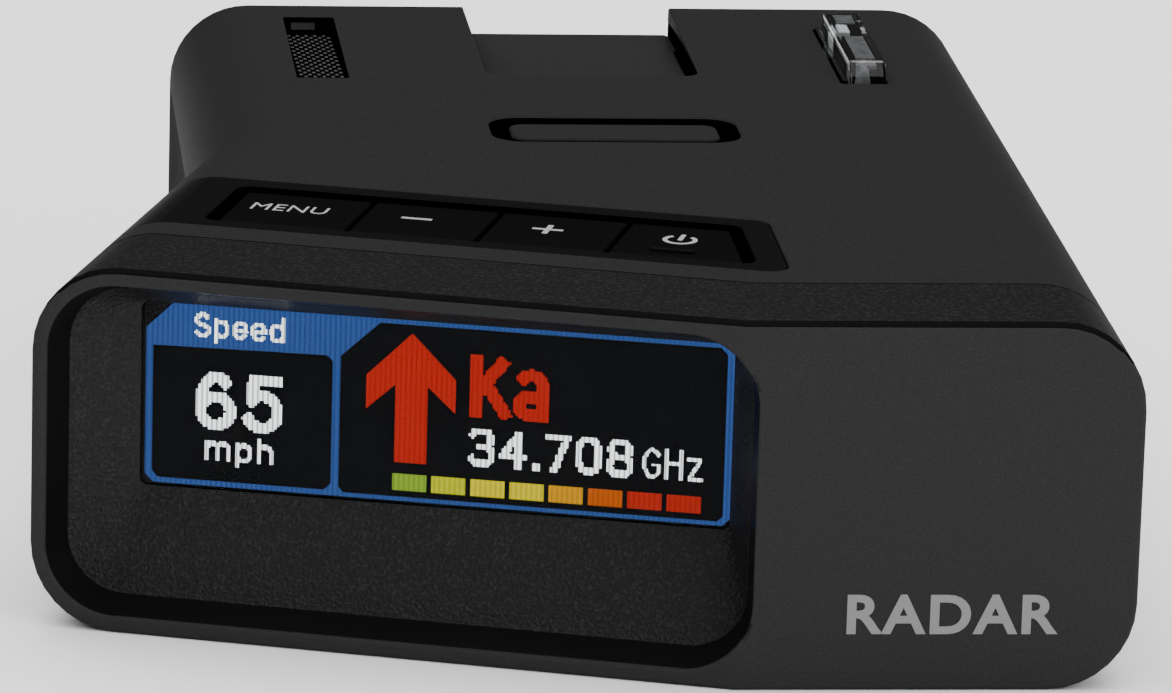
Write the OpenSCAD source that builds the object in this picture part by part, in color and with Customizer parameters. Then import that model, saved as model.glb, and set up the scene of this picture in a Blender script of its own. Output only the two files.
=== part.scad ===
// Windscreen radar detector: two shells, an angled display behind a bent fascia,
// a sprung key deck, a mute bar and two radar horns.
// Origin at the middle of the underside, +X right, -Y towards the driver, +Z up.

/* [Body] */
// Width across the fascia
body_w = 88; // [80:0.5:110]
// Depth from the plain face to the rear wall
body_d = 112.4; // [108:0.2:140]
// Height of the case without the periscope lens
body_h = 30.3; // [29:0.1:38]
// Radius of the case's long edges
edge_r = 7.1; // [5:0.1:8]
// Width of the rear body
rear_w = 73.2; // [66:0.1:76]
// Wall of every moulded shell
wall = 1.8; // [1.5:0.1:2.2]
// Height of the parting line above the underside
parting_z = 22.6; // [20:0.1:23]

/* [Front] */
// Width of the plain face right of the bend
plain_w = 32.3; // [28:0.1:36]
// Turn of the display face towards the driver, degrees
face_turn = 17.5; // [12:0.5:20]
// Depth of the visible fascia edge
fascia_t = 1.2; // [1:0.1:1.6]
// Depth of fascia and textured band together
band_d = 12.85; // [11:0.05:14]
// Thin front stretch of the band's wall, outside the recess collar
front_wall = 0.9; // [0.7:0.05:1]
// Depth of the hidden lips that locate one shell in the next
lip_d = 2.2; // [1.5:0.1:3]
// Thickness of those lips
lip_t = 1.1; // [0.9:0.1:1.3]
// Gap between neighbouring mouldings
seam = 0.12; // [0.08:0.01:0.2]

/* [Display] */
// Rim between the fascia's outer edge and the recess
rim = 1.3; // [1:0.1:2]
// How far the recess mouth runs past the bend
mouth_past = 1.2; // [0.5:0.1:2]
// Depth of the smooth collar around the recess
collar_d = 3.4; // [2:0.1:4]
// Inward slope of the collar over its depth
collar_in = 0.95; // [0.5:0.05:1.4]
// Visible display width
screen_w = 48.6; // [40:0.1:50]
// Visible display height
screen_h = 15.5; // [13:0.1:16.5]
// Distance from the display's left end to the mouth's left edge
screen_left = 6.3; // [5:0.1:8]
// Height of the display's lower edge
screen_z = 11; // [9:0.1:12]
// Depth of the glass at the middle of the display
screen_d = 6.7; // [5.5:0.1:7.5]
// How much less than the face the screen turns, degrees
screen_turn = 2.1; // [0:0.1:3]
// Thickness of the display window
glass_t = 0.8; // [0.6:0.1:1]

/* [Keys] */
// Distance from the display face to the front of the key deck
deck_front = 16.9; // [16:0.1:18]
// Front to rear size of the key deck
deck_d = 15.9; // [15:0.1:18]
// Distance from the bend to the deck's right edge along X
deck_past = 5.4; // [3:0.1:7]
// Front to rear size of one key
key_d = 10.3; // [8.5:0.1:11]
// Distance between key centres
key_pitch = 10.9; // [10.5:0.1:11.5]
// Distance from the deck's rounded left edge to the first key
key_left = 10.1; // [9.5:0.1:11]
// Gap between neighbouring keys, and between keys and well
key_gap = 0.32; // [0.25:0.01:0.5]
// How far the well's slope spreads outwards
well_slope = 0.95; // [0.5:0.05:1.2]
// How far the key tops sit below the deck
key_sunk = 0.25; // [0.1:0.05:0.5]
// Travel of a key
key_travel = 0.4; // [0.2:0.05:0.6]

/* [Mute bar] */
// Length of the mute bar
mute_w = 18.2; // [14:0.1:22]
// Front to rear size of the mute bar
mute_d = 5.4; // [4:0.1:7]
// Distance from the mute bar's centre to the rear wall
mute_y = 48; // [44:0.1:50]
// Width of the slope around the mute bar
mute_slope = 1.7; // [1:0.1:2.5]
// Travel of the mute bar
mute_travel = 0.5; // [0.3:0.05:0.6]

/* [Top features] */
// Width of the bracket notch
notch_w = 19.1; // [16:0.1:23]
// Length of the bracket notch
notch_l = 27.7; // [22:0.1:30]
// Depth of the bracket notch at the rear wall
notch_deep = 2.6; // [2:0.1:3.2]
// Width of the bracket slot below the notch
slot_w = 14; // [10:0.1:16]
// Height of the bracket slot
slot_h = 2.2; // [2:0.1:2.3]
// Depth of the bracket slot
slot_l = 12; // [8:0.1:14]
// Width of the rear sensor's sloping pocket
pocket_w = 4.6; // [4:0.1:6]
// Length of that pocket
pocket_l = 24.2; // [18:0.1:28]
// Depth of that pocket at its rear end
pocket_deep = 1.4; // [1:0.1:1.6]
// Distance from the rear body's left wall to the pocket
pocket_x = 10.1; // [8.5:0.1:12]
// Distance from the rear wall to the pocket and to the lens
rear_margin = 5; // [4:0.1:8]
// Width of the periscope lens
lens_w = 3.4; // [3:0.1:5]
// Length of the periscope lens
lens_l = 21.4; // [16:0.1:26]
// Height of the lens above the case
lens_up = 1.9; // [1:0.1:3]
// Distance from the right wall to the lens
lens_x = 10.5; // [9.5:0.1:12]

/* [Inside] */
// Height of the main board's underside
board_z = 8; // [7.5:0.1:8.5]
// Thickness of every circuit board
board_t = 1; // [0.8:0.1:1.2]
// Height of the radar horns
horn_h = 13; // [11:0.1:13.2]
// Width of a horn's mouth
horn_w = 24; // [20:0.1:26]
// Length of a horn
horn_l = 30; // [24:0.1:32]
// Wall of a horn
horn_wall = 1; // [0.8:0.1:1.3]
// Radius of the speaker
speaker_r = 12; // [10:0.1:13]
// Bore radius of the audio jack
audio_r = 1.8; // [1.5:0.05:2]
// Thread radius of the case screws
screw_r = 1.1; // [1:0.05:1.3]
// Radius of the screw bosses
boss_r = 2.8; // [2.5:0.1:3]

/* [Hidden] */
$fn = 64;

far = 400;                                   // reaches past the whole part
eps = 0.01;
hull_fn = 32;
front_y = -body_d / 2;
rear_y = body_d / 2;
right_x = body_w / 2;
rear_x0 = right_x - rear_w;                  // left wall of the rear body
mid_x = right_x - rear_w / 2;                // middle of the rear body
mute_cy = rear_y - mute_y;
bend_x = right_x - plain_w;
face_l = (body_w - plain_w) / cos(face_turn);   // length of the display face
half_turn = tan(face_turn / 2);
inner_z = body_h - wall;                     // inside of the top wall
front_block_x1 = -5;                         // the turned front block ends inside the rear body
front_block_y1 = 60;

// Recess and screen, in the display face's own frame: x runs right, 0 at the bend
mouth_x0 = -face_l + rim;
mouth_x1 = mouth_past;
mouth_z0 = rim + 0.1;
mouth_z1 = body_h - rim;
mouth_r = edge_r - rim;
screen_x0 = mouth_x0 + screen_left;
screen_mid = screen_x0 + screen_w / 2;
stack_gap = 0.15;                            // air between the layers of the display
panel_t = 1.5;
funnel_t = 1;                                // skin of the display surround
collar_t = 0.55;                             // skin of the recess collar
thin_d = screen_d - 1.4;                     // how deep the band's thin stretch reaches

// Key deck and keys, in the same frame: y runs inwards from the display face
deck_rear = deck_front + deck_d;
deck_x1 = bend_x + deck_past;                // right edge, along X
deck_r = 1.6;
row_y0 = deck_front + (deck_d - key_d) / 2 - 0.15;   // front of the keys
row_y1 = row_y0 + key_d;
row_x0 = -face_l + key_left;                 // left end of the first key
row_x1 = deck_x1 - 3.3;                      // right end of the last key, along X
key_mid_y = (row_y0 + row_y1) / 2;
key_top = body_h - key_sunk;
flange_gap = 0.12;                           // between a key's flange and the deck's underside
flange_t = 0.8;
flange_out = 0.5;
key_low = inner_z - flange_gap - flange_t;
stem_r = 1.2;
stem_l = 1.5;
plunger_r = 0.9;
plunger_l = 1.7;
plunger_gap = 0.2;                           // radial clearance in the switch
switch_s = 4.6;
switch_h = 1.8;
plunger_low = key_low - stem_l - plunger_l;
switch_top = plunger_low + 0.9;
bore_floor = plunger_low - max(key_travel, mute_travel) - 0.1;
key_board_top = switch_top - switch_h;
post_r = 1.3;
post_hole_r = 0.6;
key_posts = [turned_xy(row_x0 - 3.4, key_mid_y),
    [deck_x1 - 1.5, turned_xy(key_mid_x(3), key_mid_y)[1]]];
mute_posts = [for (side = [-1, 1]) [mid_x + side * (mute_w / 2 + 3.5), mute_cy]];

// Mute bar
mute_r = 1.3;
mute_depth = 1.2;                            // height of the slope around the bar
mute_low = inner_z - flange_gap - flange_t;

// Rear features
pocket_x0 = rear_x0 + pocket_x;
pocket_y1 = rear_y - rear_margin;
ramp_t = 0.55;                               // thickness of the sensor ramp
sensor_in = 0.7;
sensor_w = 2.3;
sensor_t = 0.6;
lens_x0 = right_x - lens_x - lens_w;
lens_y1 = rear_y - rear_margin - 3.6;
lens_flange = 0.55;
slot_z = body_h - notch_deep - wall - slot_h;
slot_wall = 0.9;

// Inside
horn_z = board_z + board_t;
flex_t = 0.2;
flex_y0 = screen_d + glass_t + 2 * stack_gap + panel_t + board_t + 0.25;
forward_x = right_x - wall - horn_w / 2 - 10;
rearward_x = right_x - wall - horn_w / 2 - 9;
forward_y = rear_y - wall - horn_l - 3.2;
rearward_y = front_y + band_d + lip_d + horn_l + 2.6;
cover_t = 1.35;                              // foam covers over the horn mouths
speaker_x = rear_x0 + 19;
speaker_y = 16;
board_places = [[rear_x0 + 7.5, 4], [right_x - 5.5, -4], [rear_x0 + 24, rear_y - 5],
    [right_x - 6, rear_y - 16]];
board_screw_r = 0.75;
board_screw_z = wall + 1.6;
board_head_r = 1.5;
board_head_h = 0.9;

// Sockets on the left wall and the window in the rear wall
jack_x = rear_x0;
jack_gap = 0.1;                              // around a socket in the wall
power_y = 18;
power_z = 14;
power_w = 9.6;
power_h = 6.6;
plug_w = 7.8;
plug_h = 4.7;
plug_l = 9.8;
audio_y = 31;
audio_z = horn_z + 3.3;
audio_l = 12;
audio_collar_r = 2.85;
usb_y = 41.5;
usb_z = horn_z + 1.9;
usb_w = 7.8;
usb_h = 3;
usb_skin = 0.4;
window_x0 = mid_x + 12;
window_w = 14;
window_z0 = 10.6;
window_h = 7;

// Case screws
screw_head_r = 2.1;
screw_head_h = 1.4;
head_sunk = 0.4;
bottom_boss_top = parting_z - 0.1;
function turned_xy(x, y) = [bend_x + x * cos(face_turn) + y * sin(face_turn),
    front_y - x * sin(face_turn) + y * cos(face_turn)];
boss_in = edge_r + 0.3;                      // keeps the screw heads on the flat underside
screw_places = [[rear_x0 + boss_in, rear_y - boss_in], [right_x - boss_in, rear_y - boss_in],
    [right_x - boss_in, front_y + band_d + lip_d + boss_r + 1.2],
    turned_xy(-face_l + boss_in + 0.5, deck_rear + boss_r + 1.4)];

// ---- shared shapes ----

module turned() {
    translate([bend_x, front_y, 0]) rotate([0, 0, -face_turn]) children();
}

// A rectangle with four true arcs at its corners
module round_rect(x0, x1, y0, y1, r) {
    translate([x0 + r, y0]) square([x1 - x0 - 2 * r, y1 - y0]);
    translate([x0, y0 + r]) square([x1 - x0, y1 - y0 - 2 * r]);
    for (x = [x0 + r, x1 - r], y = [y0 + r, y1 - r]) translate([x, y]) circle(r);
}

// Stands a 2-D section in x and z up, and runs it from y0 to y1
module along_y(y0, y1) {
    translate([0, y1, 0]) rotate([90, 0, 0]) linear_extrude(y1 - y0) children();
}

// All space at least d behind the bent face
module behind(d) {
    corner = [bend_x + d * half_turn, front_y + d];
    reach = [-far * cos(face_turn), far * sin(face_turn)];
    translate([0, 0, -far / 2]) linear_extrude(far)
        polygon([corner, [far, front_y + d], [far, far], [-far, far], corner + reach]);
}

// The case's outer form drawn in by a distance: the turned front block and the rear body
module body_form(inset) {
    r = edge_r - inset;
    rear_end = rear_y - inset;
    intersection() {
        union() {
            along_y(front_y - 1, rear_end)
                round_rect(rear_x0 + inset, right_x - inset, inset, body_h - inset, r);
            turned() along_y(-1, front_block_y1)
                round_rect(-face_l + inset, front_block_x1, inset, body_h - inset, r);
        }
        behind(0);
        translate([-far / 2, -far / 2, 0]) cube([far, far / 2 + rear_end, far]);
    }
}

module slab(z0, z1) {
    translate([-far / 2, -far / 2, z0]) cube([far, far, z1 - z0]);
}

// A ring of the case's form, from one distance behind the face to another
module form_ring(inset0, inset1, d0, d1) {
    difference() {
        intersection() {
            body_form(inset0);
            behind(d0);
        }
        body_form(inset1);
        behind(d1);
    }
}

// The recess mouth drawn in by a distance, as a thin plate at depth y
module mouth_plate(inset, y, t) {
    along_y(y, y + t) round_rect(mouth_x0 + inset, mouth_x1 - inset, mouth_z0 + inset,
        mouth_z1 - inset, mouth_r - inset, $fn = hull_fn);
}

// The display's own frame: its centre line, depth and slight turn back
module screen_frame() {
    turned() translate([screen_mid, screen_d, screen_z]) rotate([0, 0, screen_turn]) children();
}

// A plate centred on the display, larger by m all round, from y0 to y1 behind the glass
module screen_plate(m, y0, y1) {
    translate([-screen_w / 2 - m, y0, -m]) cube([screen_w + 2 * m, y1 - y0, screen_h + 2 * m]);
}

// A block in plan: front and rear edges follow the display face, the right edge follows Y
module deck_plan(x0, x1, y0, y1, radii) {
    e0 = (x1 - bend_x) / cos(face_turn) - y0 * tan(face_turn);
    e1 = (x1 - bend_x) / cos(face_turn) - y1 * tan(face_turn);
    round_poly([[x0, y0], [e0, y0], [e1, y1], [x0, y1]], radii);
}

// A convex outline with arcs of the given radii at its corners
function unit(v) = v / norm(v);
function arc_points(p, a, b, r, n = 8) =
    r == 0 ? [p] :
    let (u = unit(a - p), v = unit(b - p), half = acos(u * v) / 2,
        c = p + unit(u + v) * r / sin(half),
        t0 = p + u * r / tan(half) - c, sweep = 180 - 2 * half,
        turn = sign(u[0] * v[1] - u[1] * v[0]))
    [for (i = [0:n]) let (w = -turn * sweep * i / n)
        c + [t0[0] * cos(w) - t0[1] * sin(w), t0[0] * sin(w) + t0[1] * cos(w)]];
function rounded(pts, radii) = [for (i = [0:len(pts) - 1])
    for (q = arc_points(pts[i], pts[(i + len(pts) - 1) % len(pts)],
        pts[(i + 1) % len(pts)], radii[i])) q];
module round_poly(pts, radii) {
    polygon(rounded(pts, radii));
}

// The row of keys in plan, grown by g
module row_plan(g, r) {
    deck_plan(row_x0 - g, row_x1 + g, row_y0 - g, row_y1 + g, [r, r, r, r]);
}

// Key number i in plan, drawn in from its neighbours by half the gap
module key_plan(i, grow_y = 0) {
    x0 = row_x0 + i * key_pitch + (i == 0 ? 0 : key_gap / 2);
    x1 = row_x0 + (i + 1) * key_pitch - key_gap / 2;
    intersection() {
        if (i == 3)
            deck_plan(x0, row_x1, row_y0 - grow_y, row_y1 + grow_y, [0, 0.4, 0.4, 0]);
        else
            translate([x0, row_y0 - grow_y]) square([x1 - x0, key_d + 2 * grow_y]);
        if (grow_y == 0) row_plan(0, 0.6);
        else row_plan(grow_y + eps, 0);
    }
}

function key_mid_x(i) = i == 3
    ? (row_x0 + 3 * key_pitch + (row_x1 - bend_x) / cos(face_turn) - key_mid_y * tan(face_turn)) / 2
    : row_x0 + (i + 0.5) * key_pitch;

// A row's centre line piece that stands under key i
module under_key(i) {
    turned() translate([key_mid_x(i), key_mid_y, 0]) children();
}

module rounded_block(x0, x1, y0, y1, z0, z1, r) {
    translate([0, 0, z0]) linear_extrude(z1 - z0) round_rect(x0, x1, y0, y1, r);
}

module block(x0, x1, y0, y1, z0, z1) {
    translate([x0, y0, z0]) cube([x1 - x0, y1 - y0, z1 - z0]);
}

// ---- front ----

module front_fascia() color([0.19, 0.19, 0.19]) difference() {
    union() {
        difference() {
            body_form(0);
            behind(fascia_t);
        }
        // locating lip; round the recess the collar does its job
        intersection() {
            form_ring(front_wall + seam, front_wall + seam + lip_t, fascia_t - 0.2,
                fascia_t + lip_d);
            block(bend_x + mouth_past + 4, far, -far, far, -1, far);
        }
        turned() hull() {
            mouth_plate(-collar_t, fascia_t - 0.4, 0.1);
            mouth_plate(collar_in - collar_t, collar_d - 0.1, 0.1);
        }
    }
    turned() hull() {
        mouth_plate(-0.3, -1, 0.1);
        mouth_plate(collar_in + 0.05, collar_d + 0.1, 0.1);
    }
}

module display_surround() color([0.16, 0.16, 0.16]) difference() {
    turned() hull() {
        mouth_plate(collar_in - funnel_t, collar_d + seam, 0.4);
        translate([screen_mid, screen_d, screen_z]) rotate([0, 0, screen_turn])
            screen_plate(funnel_t, -0.1, 0);
    }
    turned() hull() {
        mouth_plate(collar_in, collar_d - 0.5, 0.1);
        mouth_plate(collar_in + 0.1, collar_d + seam + 0.2, 0.1);
        translate([screen_mid, screen_d, screen_z]) rotate([0, 0, screen_turn])
            screen_plate(0, 0.2, 0.3);
    }
}

module display_window() color([0.03, 0.03, 0.05]) screen_frame()
    screen_plate(funnel_t, stack_gap / 3, glass_t);

module display_panel() color([0.1, 0.16, 0.3]) screen_frame()
    screen_plate(0.8, glass_t + stack_gap, glass_t + stack_gap + panel_t);

module display_board() color([0.05, 0.25, 0.12]) screen_frame() {
    y0 = glass_t + 2 * stack_gap + panel_t;
    screen_plate(1.6, y0, y0 + board_t);
}

module front_band() color([0.14, 0.14, 0.14]) {
    form_ring(0, front_wall, fascia_t + seam, thin_d + 0.2);
    form_ring(0, wall, thin_d, band_d - seam);
    form_ring(wall - 0.2, wall + seam + lip_t, band_d - 1.2, band_d - seam);
    form_ring(wall + seam, wall + seam + lip_t, band_d - 1, band_d + lip_d);
}

// ---- shells ----

module screw_columns(z0, z1, r) {
    for (p = screw_places) translate([p[0], p[1], z0]) cylinder(h = z1 - z0, r = r);
}

module notch_wedge() {
    x0 = mid_x - notch_w / 2;
    corner_r = 1.5;
    rise = notch_l + 1;
    intersection() {
        translate([x0, rear_y + 1, body_h]) rotate([90, 0, 90]) linear_extrude(notch_w)
            polygon([[0, -notch_deep * rise / notch_l], [0, 2], [-rise, 2], [-rise, 0]]);
        rounded_block(x0, x0 + notch_w, rear_y - notch_l, rear_y + 9, 0, far, corner_r);
    }
}

// Sloping cut for the sensor ramp, which lies on its lowered floor
module pocket_wedge() {
    drop = ramp_t + seam / 2;
    translate([pocket_x0, pocket_y1, body_h]) rotate([90, 0, 90]) linear_extrude(pocket_w)
        polygon([[0, -pocket_deep - drop], [0, 1], [-pocket_l, 1], [-pocket_l, -drop]]);
    block(pocket_x0 + sensor_in, pocket_x0 + sensor_in + sensor_w, pocket_y1 - 1,
        pocket_y1 + sensor_t + seam, body_h - pocket_deep + 0.1, body_h - 0.5);
}

module mute_well() {
    translate([mid_x, mute_cy, body_h]) {
        hull() {
            translate([0, 0, -mute_depth]) linear_extrude(0.02)
                round_rect(-mute_w / 2 - key_gap, mute_w / 2 + key_gap, -mute_d / 2 - key_gap,
                    mute_d / 2 + key_gap, mute_r + key_gap, $fn = hull_fn);
            linear_extrude(0.2) round_rect(-mute_w / 2 - mute_slope, mute_w / 2 + mute_slope,
                -mute_d / 2 - mute_slope, mute_d / 2 + mute_slope, mute_d / 2,
                $fn = hull_fn);
        }
        translate([0, 0, -wall - 1]) linear_extrude(wall + 1) round_rect(-mute_w / 2 - key_gap,
            mute_w / 2 + key_gap, -mute_d / 2 - key_gap, mute_d / 2 + key_gap,
            mute_r + key_gap);
    }
}

// The deck's seat, from the front block's left side to its slanting right end
module deck_zone(g) {
    turned() linear_extrude(far) deck_plan(-face_l - 5, deck_x1 + g, deck_front - g,
        deck_rear + g, [0, deck_r + g, deck_r + g, 0]);
}

module lens_seat(g) {
    block(lens_x0 - lens_flange - g, lens_x0 + lens_w + g, lens_y1 - lens_l - g, lens_y1 + g,
        0, far);
}

module top_cover() color([0.17, 0.17, 0.17]) difference() {
    union() {
        difference() {
            intersection() {
                body_form(0);
                behind(band_d);
                slab(parting_z + seam / 2, far);
            }
            body_form(wall);
        }
        // floor under the bracket notch and under the sensor pocket
        block(mid_x - notch_w / 2 - wall, mid_x + notch_w / 2 + wall, rear_y - notch_l - wall,
            rear_y - wall / 2, body_h - notch_deep - wall, inner_z + 0.3);
        block(pocket_x0 - 1.6, pocket_x0 + pocket_w + 1.6, pocket_y1 - pocket_l - 2,
            pocket_y1 + 1.6, body_h - pocket_deep - wall - 0.8, inner_z + 0.3);
        // screw columns, reaching into the wall above
        intersection() {
            screw_columns(parting_z + seam / 2, body_h - 1, boss_r);
            body_form(wall / 2);
        }
        // shelf that the mute board hangs on
        for (p = mute_posts) translate([p[0], p[1], key_board_top])
            cylinder(h = inner_z - key_board_top + 0.3, r = post_r + 0.5);
    }
    deck_zone(seam);
    mute_well();
    notch_wedge();
    pocket_wedge();
    lens_seat(seam);
    screw_columns(parting_z - 1, body_h - wall - 1.2, screw_r);
    // window and bracket slot in the rear wall
    block(mid_x - slot_w / 2 - slot_wall - seam, mid_x + slot_w / 2 + slot_wall + seam,
        rear_y - wall - 1, rear_y + 1, slot_z - slot_wall - seam, slot_z + slot_h);
    for (p = mute_posts) translate([p[0], p[1], key_board_top - 1])
        cylinder(h = 4, r = post_hole_r);
}

// A rectangular hole through the left wall
module wall_window(y, z, w, h) {
    block(jack_x - 1, jack_x + wall + 1, y - w / 2, y + w / 2, z - h / 2, z + h / 2);
}
module jack_holes() {
    wall_window(power_y, power_z, power_w + 2 * jack_gap, power_h + 2 * jack_gap);
    wall_window(usb_y, usb_z, usb_w + 6 * jack_gap, usb_h + 6 * jack_gap);
    translate([jack_x - 1, audio_y, audio_z]) rotate([0, 90, 0])
        cylinder(h = wall + 2, r = audio_collar_r + 0.15);
}

module grille_holes() {
    hole_r = 0.75;
    pitch = 3;
    for (i = [-3:3], j = [-3:3])
        if (norm([i + abs(j % 2) / 2, j * 0.87]) * pitch < speaker_r - 2)
            translate([speaker_x + (i + abs(j % 2) / 2) * pitch, speaker_y + j * pitch * 0.87, -1])
                cylinder(h = wall + 2, r = hole_r, $fn = 24);
}

module bottom_case() color([0.13, 0.13, 0.13]) difference() {
    union() {
        difference() {
            intersection() {
                body_form(0);
                behind(band_d);
                slab(-1, parting_z - seam / 2);
            }
            body_form(wall);
        }
        intersection() {
            screw_columns(wall / 2, bottom_boss_top, boss_r);
            body_form(wall / 2);
        }
        for (p = board_places) translate([p[0], p[1], wall - 0.2])
            cylinder(h = board_z - wall + 0.2, r = 2);
        difference() {
            translate([speaker_x, speaker_y, wall - 0.2]) cylinder(h = 2.2, r = speaker_r + 1.4);
            translate([speaker_x, speaker_y, wall - 1]) cylinder(h = 4, r = speaker_r + 0.25);
        }
    }
    screw_columns(-1, parting_z + 1, screw_r + 0.25);
    screw_columns(-1, head_sunk + screw_head_h + 0.1, screw_head_r + 0.25);
    for (p = board_places) translate([p[0], p[1], wall + 0.6]) cylinder(h = 12, r = 0.8);
    jack_holes();
    block(window_x0, window_x0 + window_w, rear_y - wall - 1, rear_y + 1, window_z0,
        window_z0 + window_h);
    grille_holes();
    label_recess();
}

module label_recess() {
    rounded_block(mid_x + 2, mid_x + 28, -22, 10, -1, 0.3, 1.5);
}

// ---- keys ----

module key_deck() color([0.1, 0.1, 0.1]) difference() {
    union() {
        intersection() {
            difference() {
                body_form(0);
                body_form(wall);
            }
            deck_zone(0);
            slab(parting_z + seam / 2, far);
        }
        for (p = key_posts) translate([p[0], p[1], key_board_top])
            cylinder(h = inner_z - key_board_top + 0.3, r = post_r);
    }
    turned() hull() {
        translate([0, 0, body_h - 0.9]) linear_extrude(0.02) row_plan(key_gap, 0.6);
        translate([0, 0, body_h]) linear_extrude(0.1) row_plan(well_slope, 1.2);
    }
    turned() translate([0, 0, inner_z - 1]) linear_extrude(wall + 0.5) row_plan(key_gap, 0.6);
    for (p = key_posts) translate([p[0], p[1], key_board_top - 1])
        cylinder(h = 4, r = post_hole_r);
}

module key(i) color([0.12, 0.12, 0.12]) {
    turned() {
        translate([0, 0, key_low]) linear_extrude(key_top - key_low) key_plan(i);
        translate([0, 0, key_low]) linear_extrude(flange_t) key_plan(i, flange_out);
    }
    under_key(i) translate([0, 0, key_low - stem_l]) cylinder(h = stem_l + eps, r = stem_r);
}
module menu_key() key(0);
module minus_key() key(1);
module plus_key() key(2);
module power_key() key(3);

module plunger() color([0.8, 0.78, 0.7])
    translate([0, 0, plunger_low]) cylinder(h = plunger_l, r = plunger_r);
module menu_plunger() under_key(0) plunger();
module minus_plunger() under_key(1) plunger();
module plus_plunger() under_key(2) plunger();
module power_plunger() under_key(3) plunger();

module switch_body() difference() {
    block(-switch_s / 2, switch_s / 2, -switch_s / 2, switch_s / 2, key_board_top, switch_top);
    translate([0, 0, bore_floor]) cylinder(h = switch_h, r = plunger_r + plunger_gap);
}
module key_switches() color([0.2, 0.2, 0.22]) for (i = [0:3]) under_key(i) switch_body();

module key_board() color([0.05, 0.25, 0.12]) difference() {
    turned() block(row_x0 - 5.5, -1.8, row_y0 - 0.6, row_y1 + 1.5, key_board_top - board_t,
        key_board_top);
    for (p = key_posts) translate([p[0], p[1], 0]) cylinder(h = far, r = post_hole_r);
}

module mute_bar() color([0.15, 0.15, 0.15]) translate([mid_x, mute_cy, 0]) {
    translate([0, 0, mute_low]) linear_extrude(body_h - 0.1 - mute_low)
        round_rect(-mute_w / 2, mute_w / 2, -mute_d / 2, mute_d / 2, mute_r);
    translate([0, 0, mute_low]) linear_extrude(flange_t) round_rect(-mute_w / 2 - 0.8,
        mute_w / 2 + 0.8, -mute_d / 2 - 0.9, mute_d / 2 + 0.9, mute_r + 0.5);
    translate([0, 0, mute_low - stem_l]) cylinder(h = stem_l + eps, r = stem_r);
}
module mute_plunger() translate([mid_x, mute_cy, 0]) plunger();
module mute_switch() color([0.2, 0.2, 0.22]) translate([mid_x, mute_cy, 0]) switch_body();
module mute_board() color([0.05, 0.25, 0.12]) difference() {
    block(mid_x - mute_w / 2 - 5.5, mid_x + mute_w / 2 + 5.5, mute_cy - 4, mute_cy + 4,
        key_board_top - board_t, key_board_top);
    for (p = mute_posts) translate([p[0], p[1], 0]) cylinder(h = far, r = post_hole_r);
}

// A ribbon in the turned frame: level run, drop to the main board, level foot
module ribbon(x0, x1, y0, z0, y1, z1, y2) {
    turned() translate([x0, 0, 0]) rotate([90, 0, 90]) linear_extrude(x1 - x0)
        polygon([[y0, z0], [y1, z0], [y1, z1 + flex_t], [y2, z1 + flex_t], [y2, z1],
            [y1 - flex_t, z1], [y1 - flex_t, z0 - flex_t], [y0, z0 - flex_t]]);
}
module display_flex() color([0.75, 0.45, 0.15])
    ribbon(screen_mid - 5, screen_mid + 5, flex_y0, screen_z + 3, flex_y0 + 5, board_z + board_t,
        deck_rear + 6);
module key_flex() color([0.75, 0.45, 0.15])
    ribbon(-18.5, -13.5, row_y1 - 3, key_board_top - board_t, row_y1 + 5, board_z + board_t,
        row_y1 + 12);

// ---- electronics ----

module board_plan() {
    front_l = turned_xy(-face_l + wall + 9, deck_rear - 6);
    polygon([[rear_x0 + wall + 0.5, 10], front_l, [bend_x, front_l[1] - 12],
        [bend_x + 2, front_y + band_d + lip_d + 2.5],
        [right_x - wall - boss_r * 2 - 1, front_y + band_d + lip_d + 2.5],
        [right_x - wall - boss_r * 2 - 1, front_y + band_d + 12],
        [right_x - wall - 0.5, front_y + band_d + 12], [right_x - wall - 0.5, rear_y - 10],
        [right_x - 9, rear_y - 10], [right_x - 9, rear_y - wall - 0.5],
        [rear_x0 + 9, rear_y - wall - 0.5], [rear_x0 + 9, rear_y - 10],
        [rear_x0 + wall + 0.5, rear_y - 10]]);
}
module main_board() color([0.05, 0.25, 0.12]) difference() {
    translate([0, 0, board_z]) linear_extrude(board_t) board_plan();
    for (p = board_places) translate([p[0], p[1], 0]) cylinder(h = far, r = 0.9);
    for (p = screw_places) translate([p[0], p[1], 0]) cylinder(h = far, r = boss_r + 0.4);
}
module board_screws() color([0.75, 0.75, 0.78]) for (p = board_places)
    translate([p[0], p[1], 0]) {
        translate([0, 0, board_z + board_t]) cylinder(h = board_head_h, r = board_head_r);
        translate([0, 0, board_screw_z])
            cylinder(h = board_z + board_t - board_screw_z + eps, r = board_screw_r);
    }

// A horn that opens towards +Y from a square throat
module horn() {
    throat = 8;
    z1 = horn_z + horn_h;
    difference() {
        hull() {
            block(-throat / 2 - horn_wall, throat / 2 + horn_wall, 0, 1, horn_z, horn_z + 8);
            block(-horn_w / 2, horn_w / 2, horn_l - 1, horn_l, horn_z, z1);
        }
        hull() {
            block(-throat / 2, throat / 2, horn_wall, 1.5, horn_z + horn_wall,
                horn_z + 8 - horn_wall);
            block(-horn_w / 2 + horn_wall, horn_w / 2 - horn_wall, horn_l - 0.5, horn_l + 1,
                horn_z + horn_wall, z1 - horn_wall);
        }
    }
}
module forward_horn() color([0.6, 0.61, 0.63]) translate([forward_x, forward_y, 0]) horn();
module rear_horn() color([0.6, 0.61, 0.63])
    translate([rearward_x, rearward_y, 0]) rotate([0, 0, 180]) horn();
module horn_cover(x, y0, y1) {
    block(x - horn_w / 2, x + horn_w / 2, y0, y1, horn_z + 0.1, horn_z + horn_h);
}
module horn_covers() color([0.85, 0.85, 0.8]) {
    horn_cover(forward_x, forward_y + horn_l + 0.05, forward_y + horn_l + 0.05 + cover_t);
    horn_cover(rearward_x, rearward_y - horn_l - 0.05 - cover_t, rearward_y - horn_l - 0.05);
}

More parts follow.
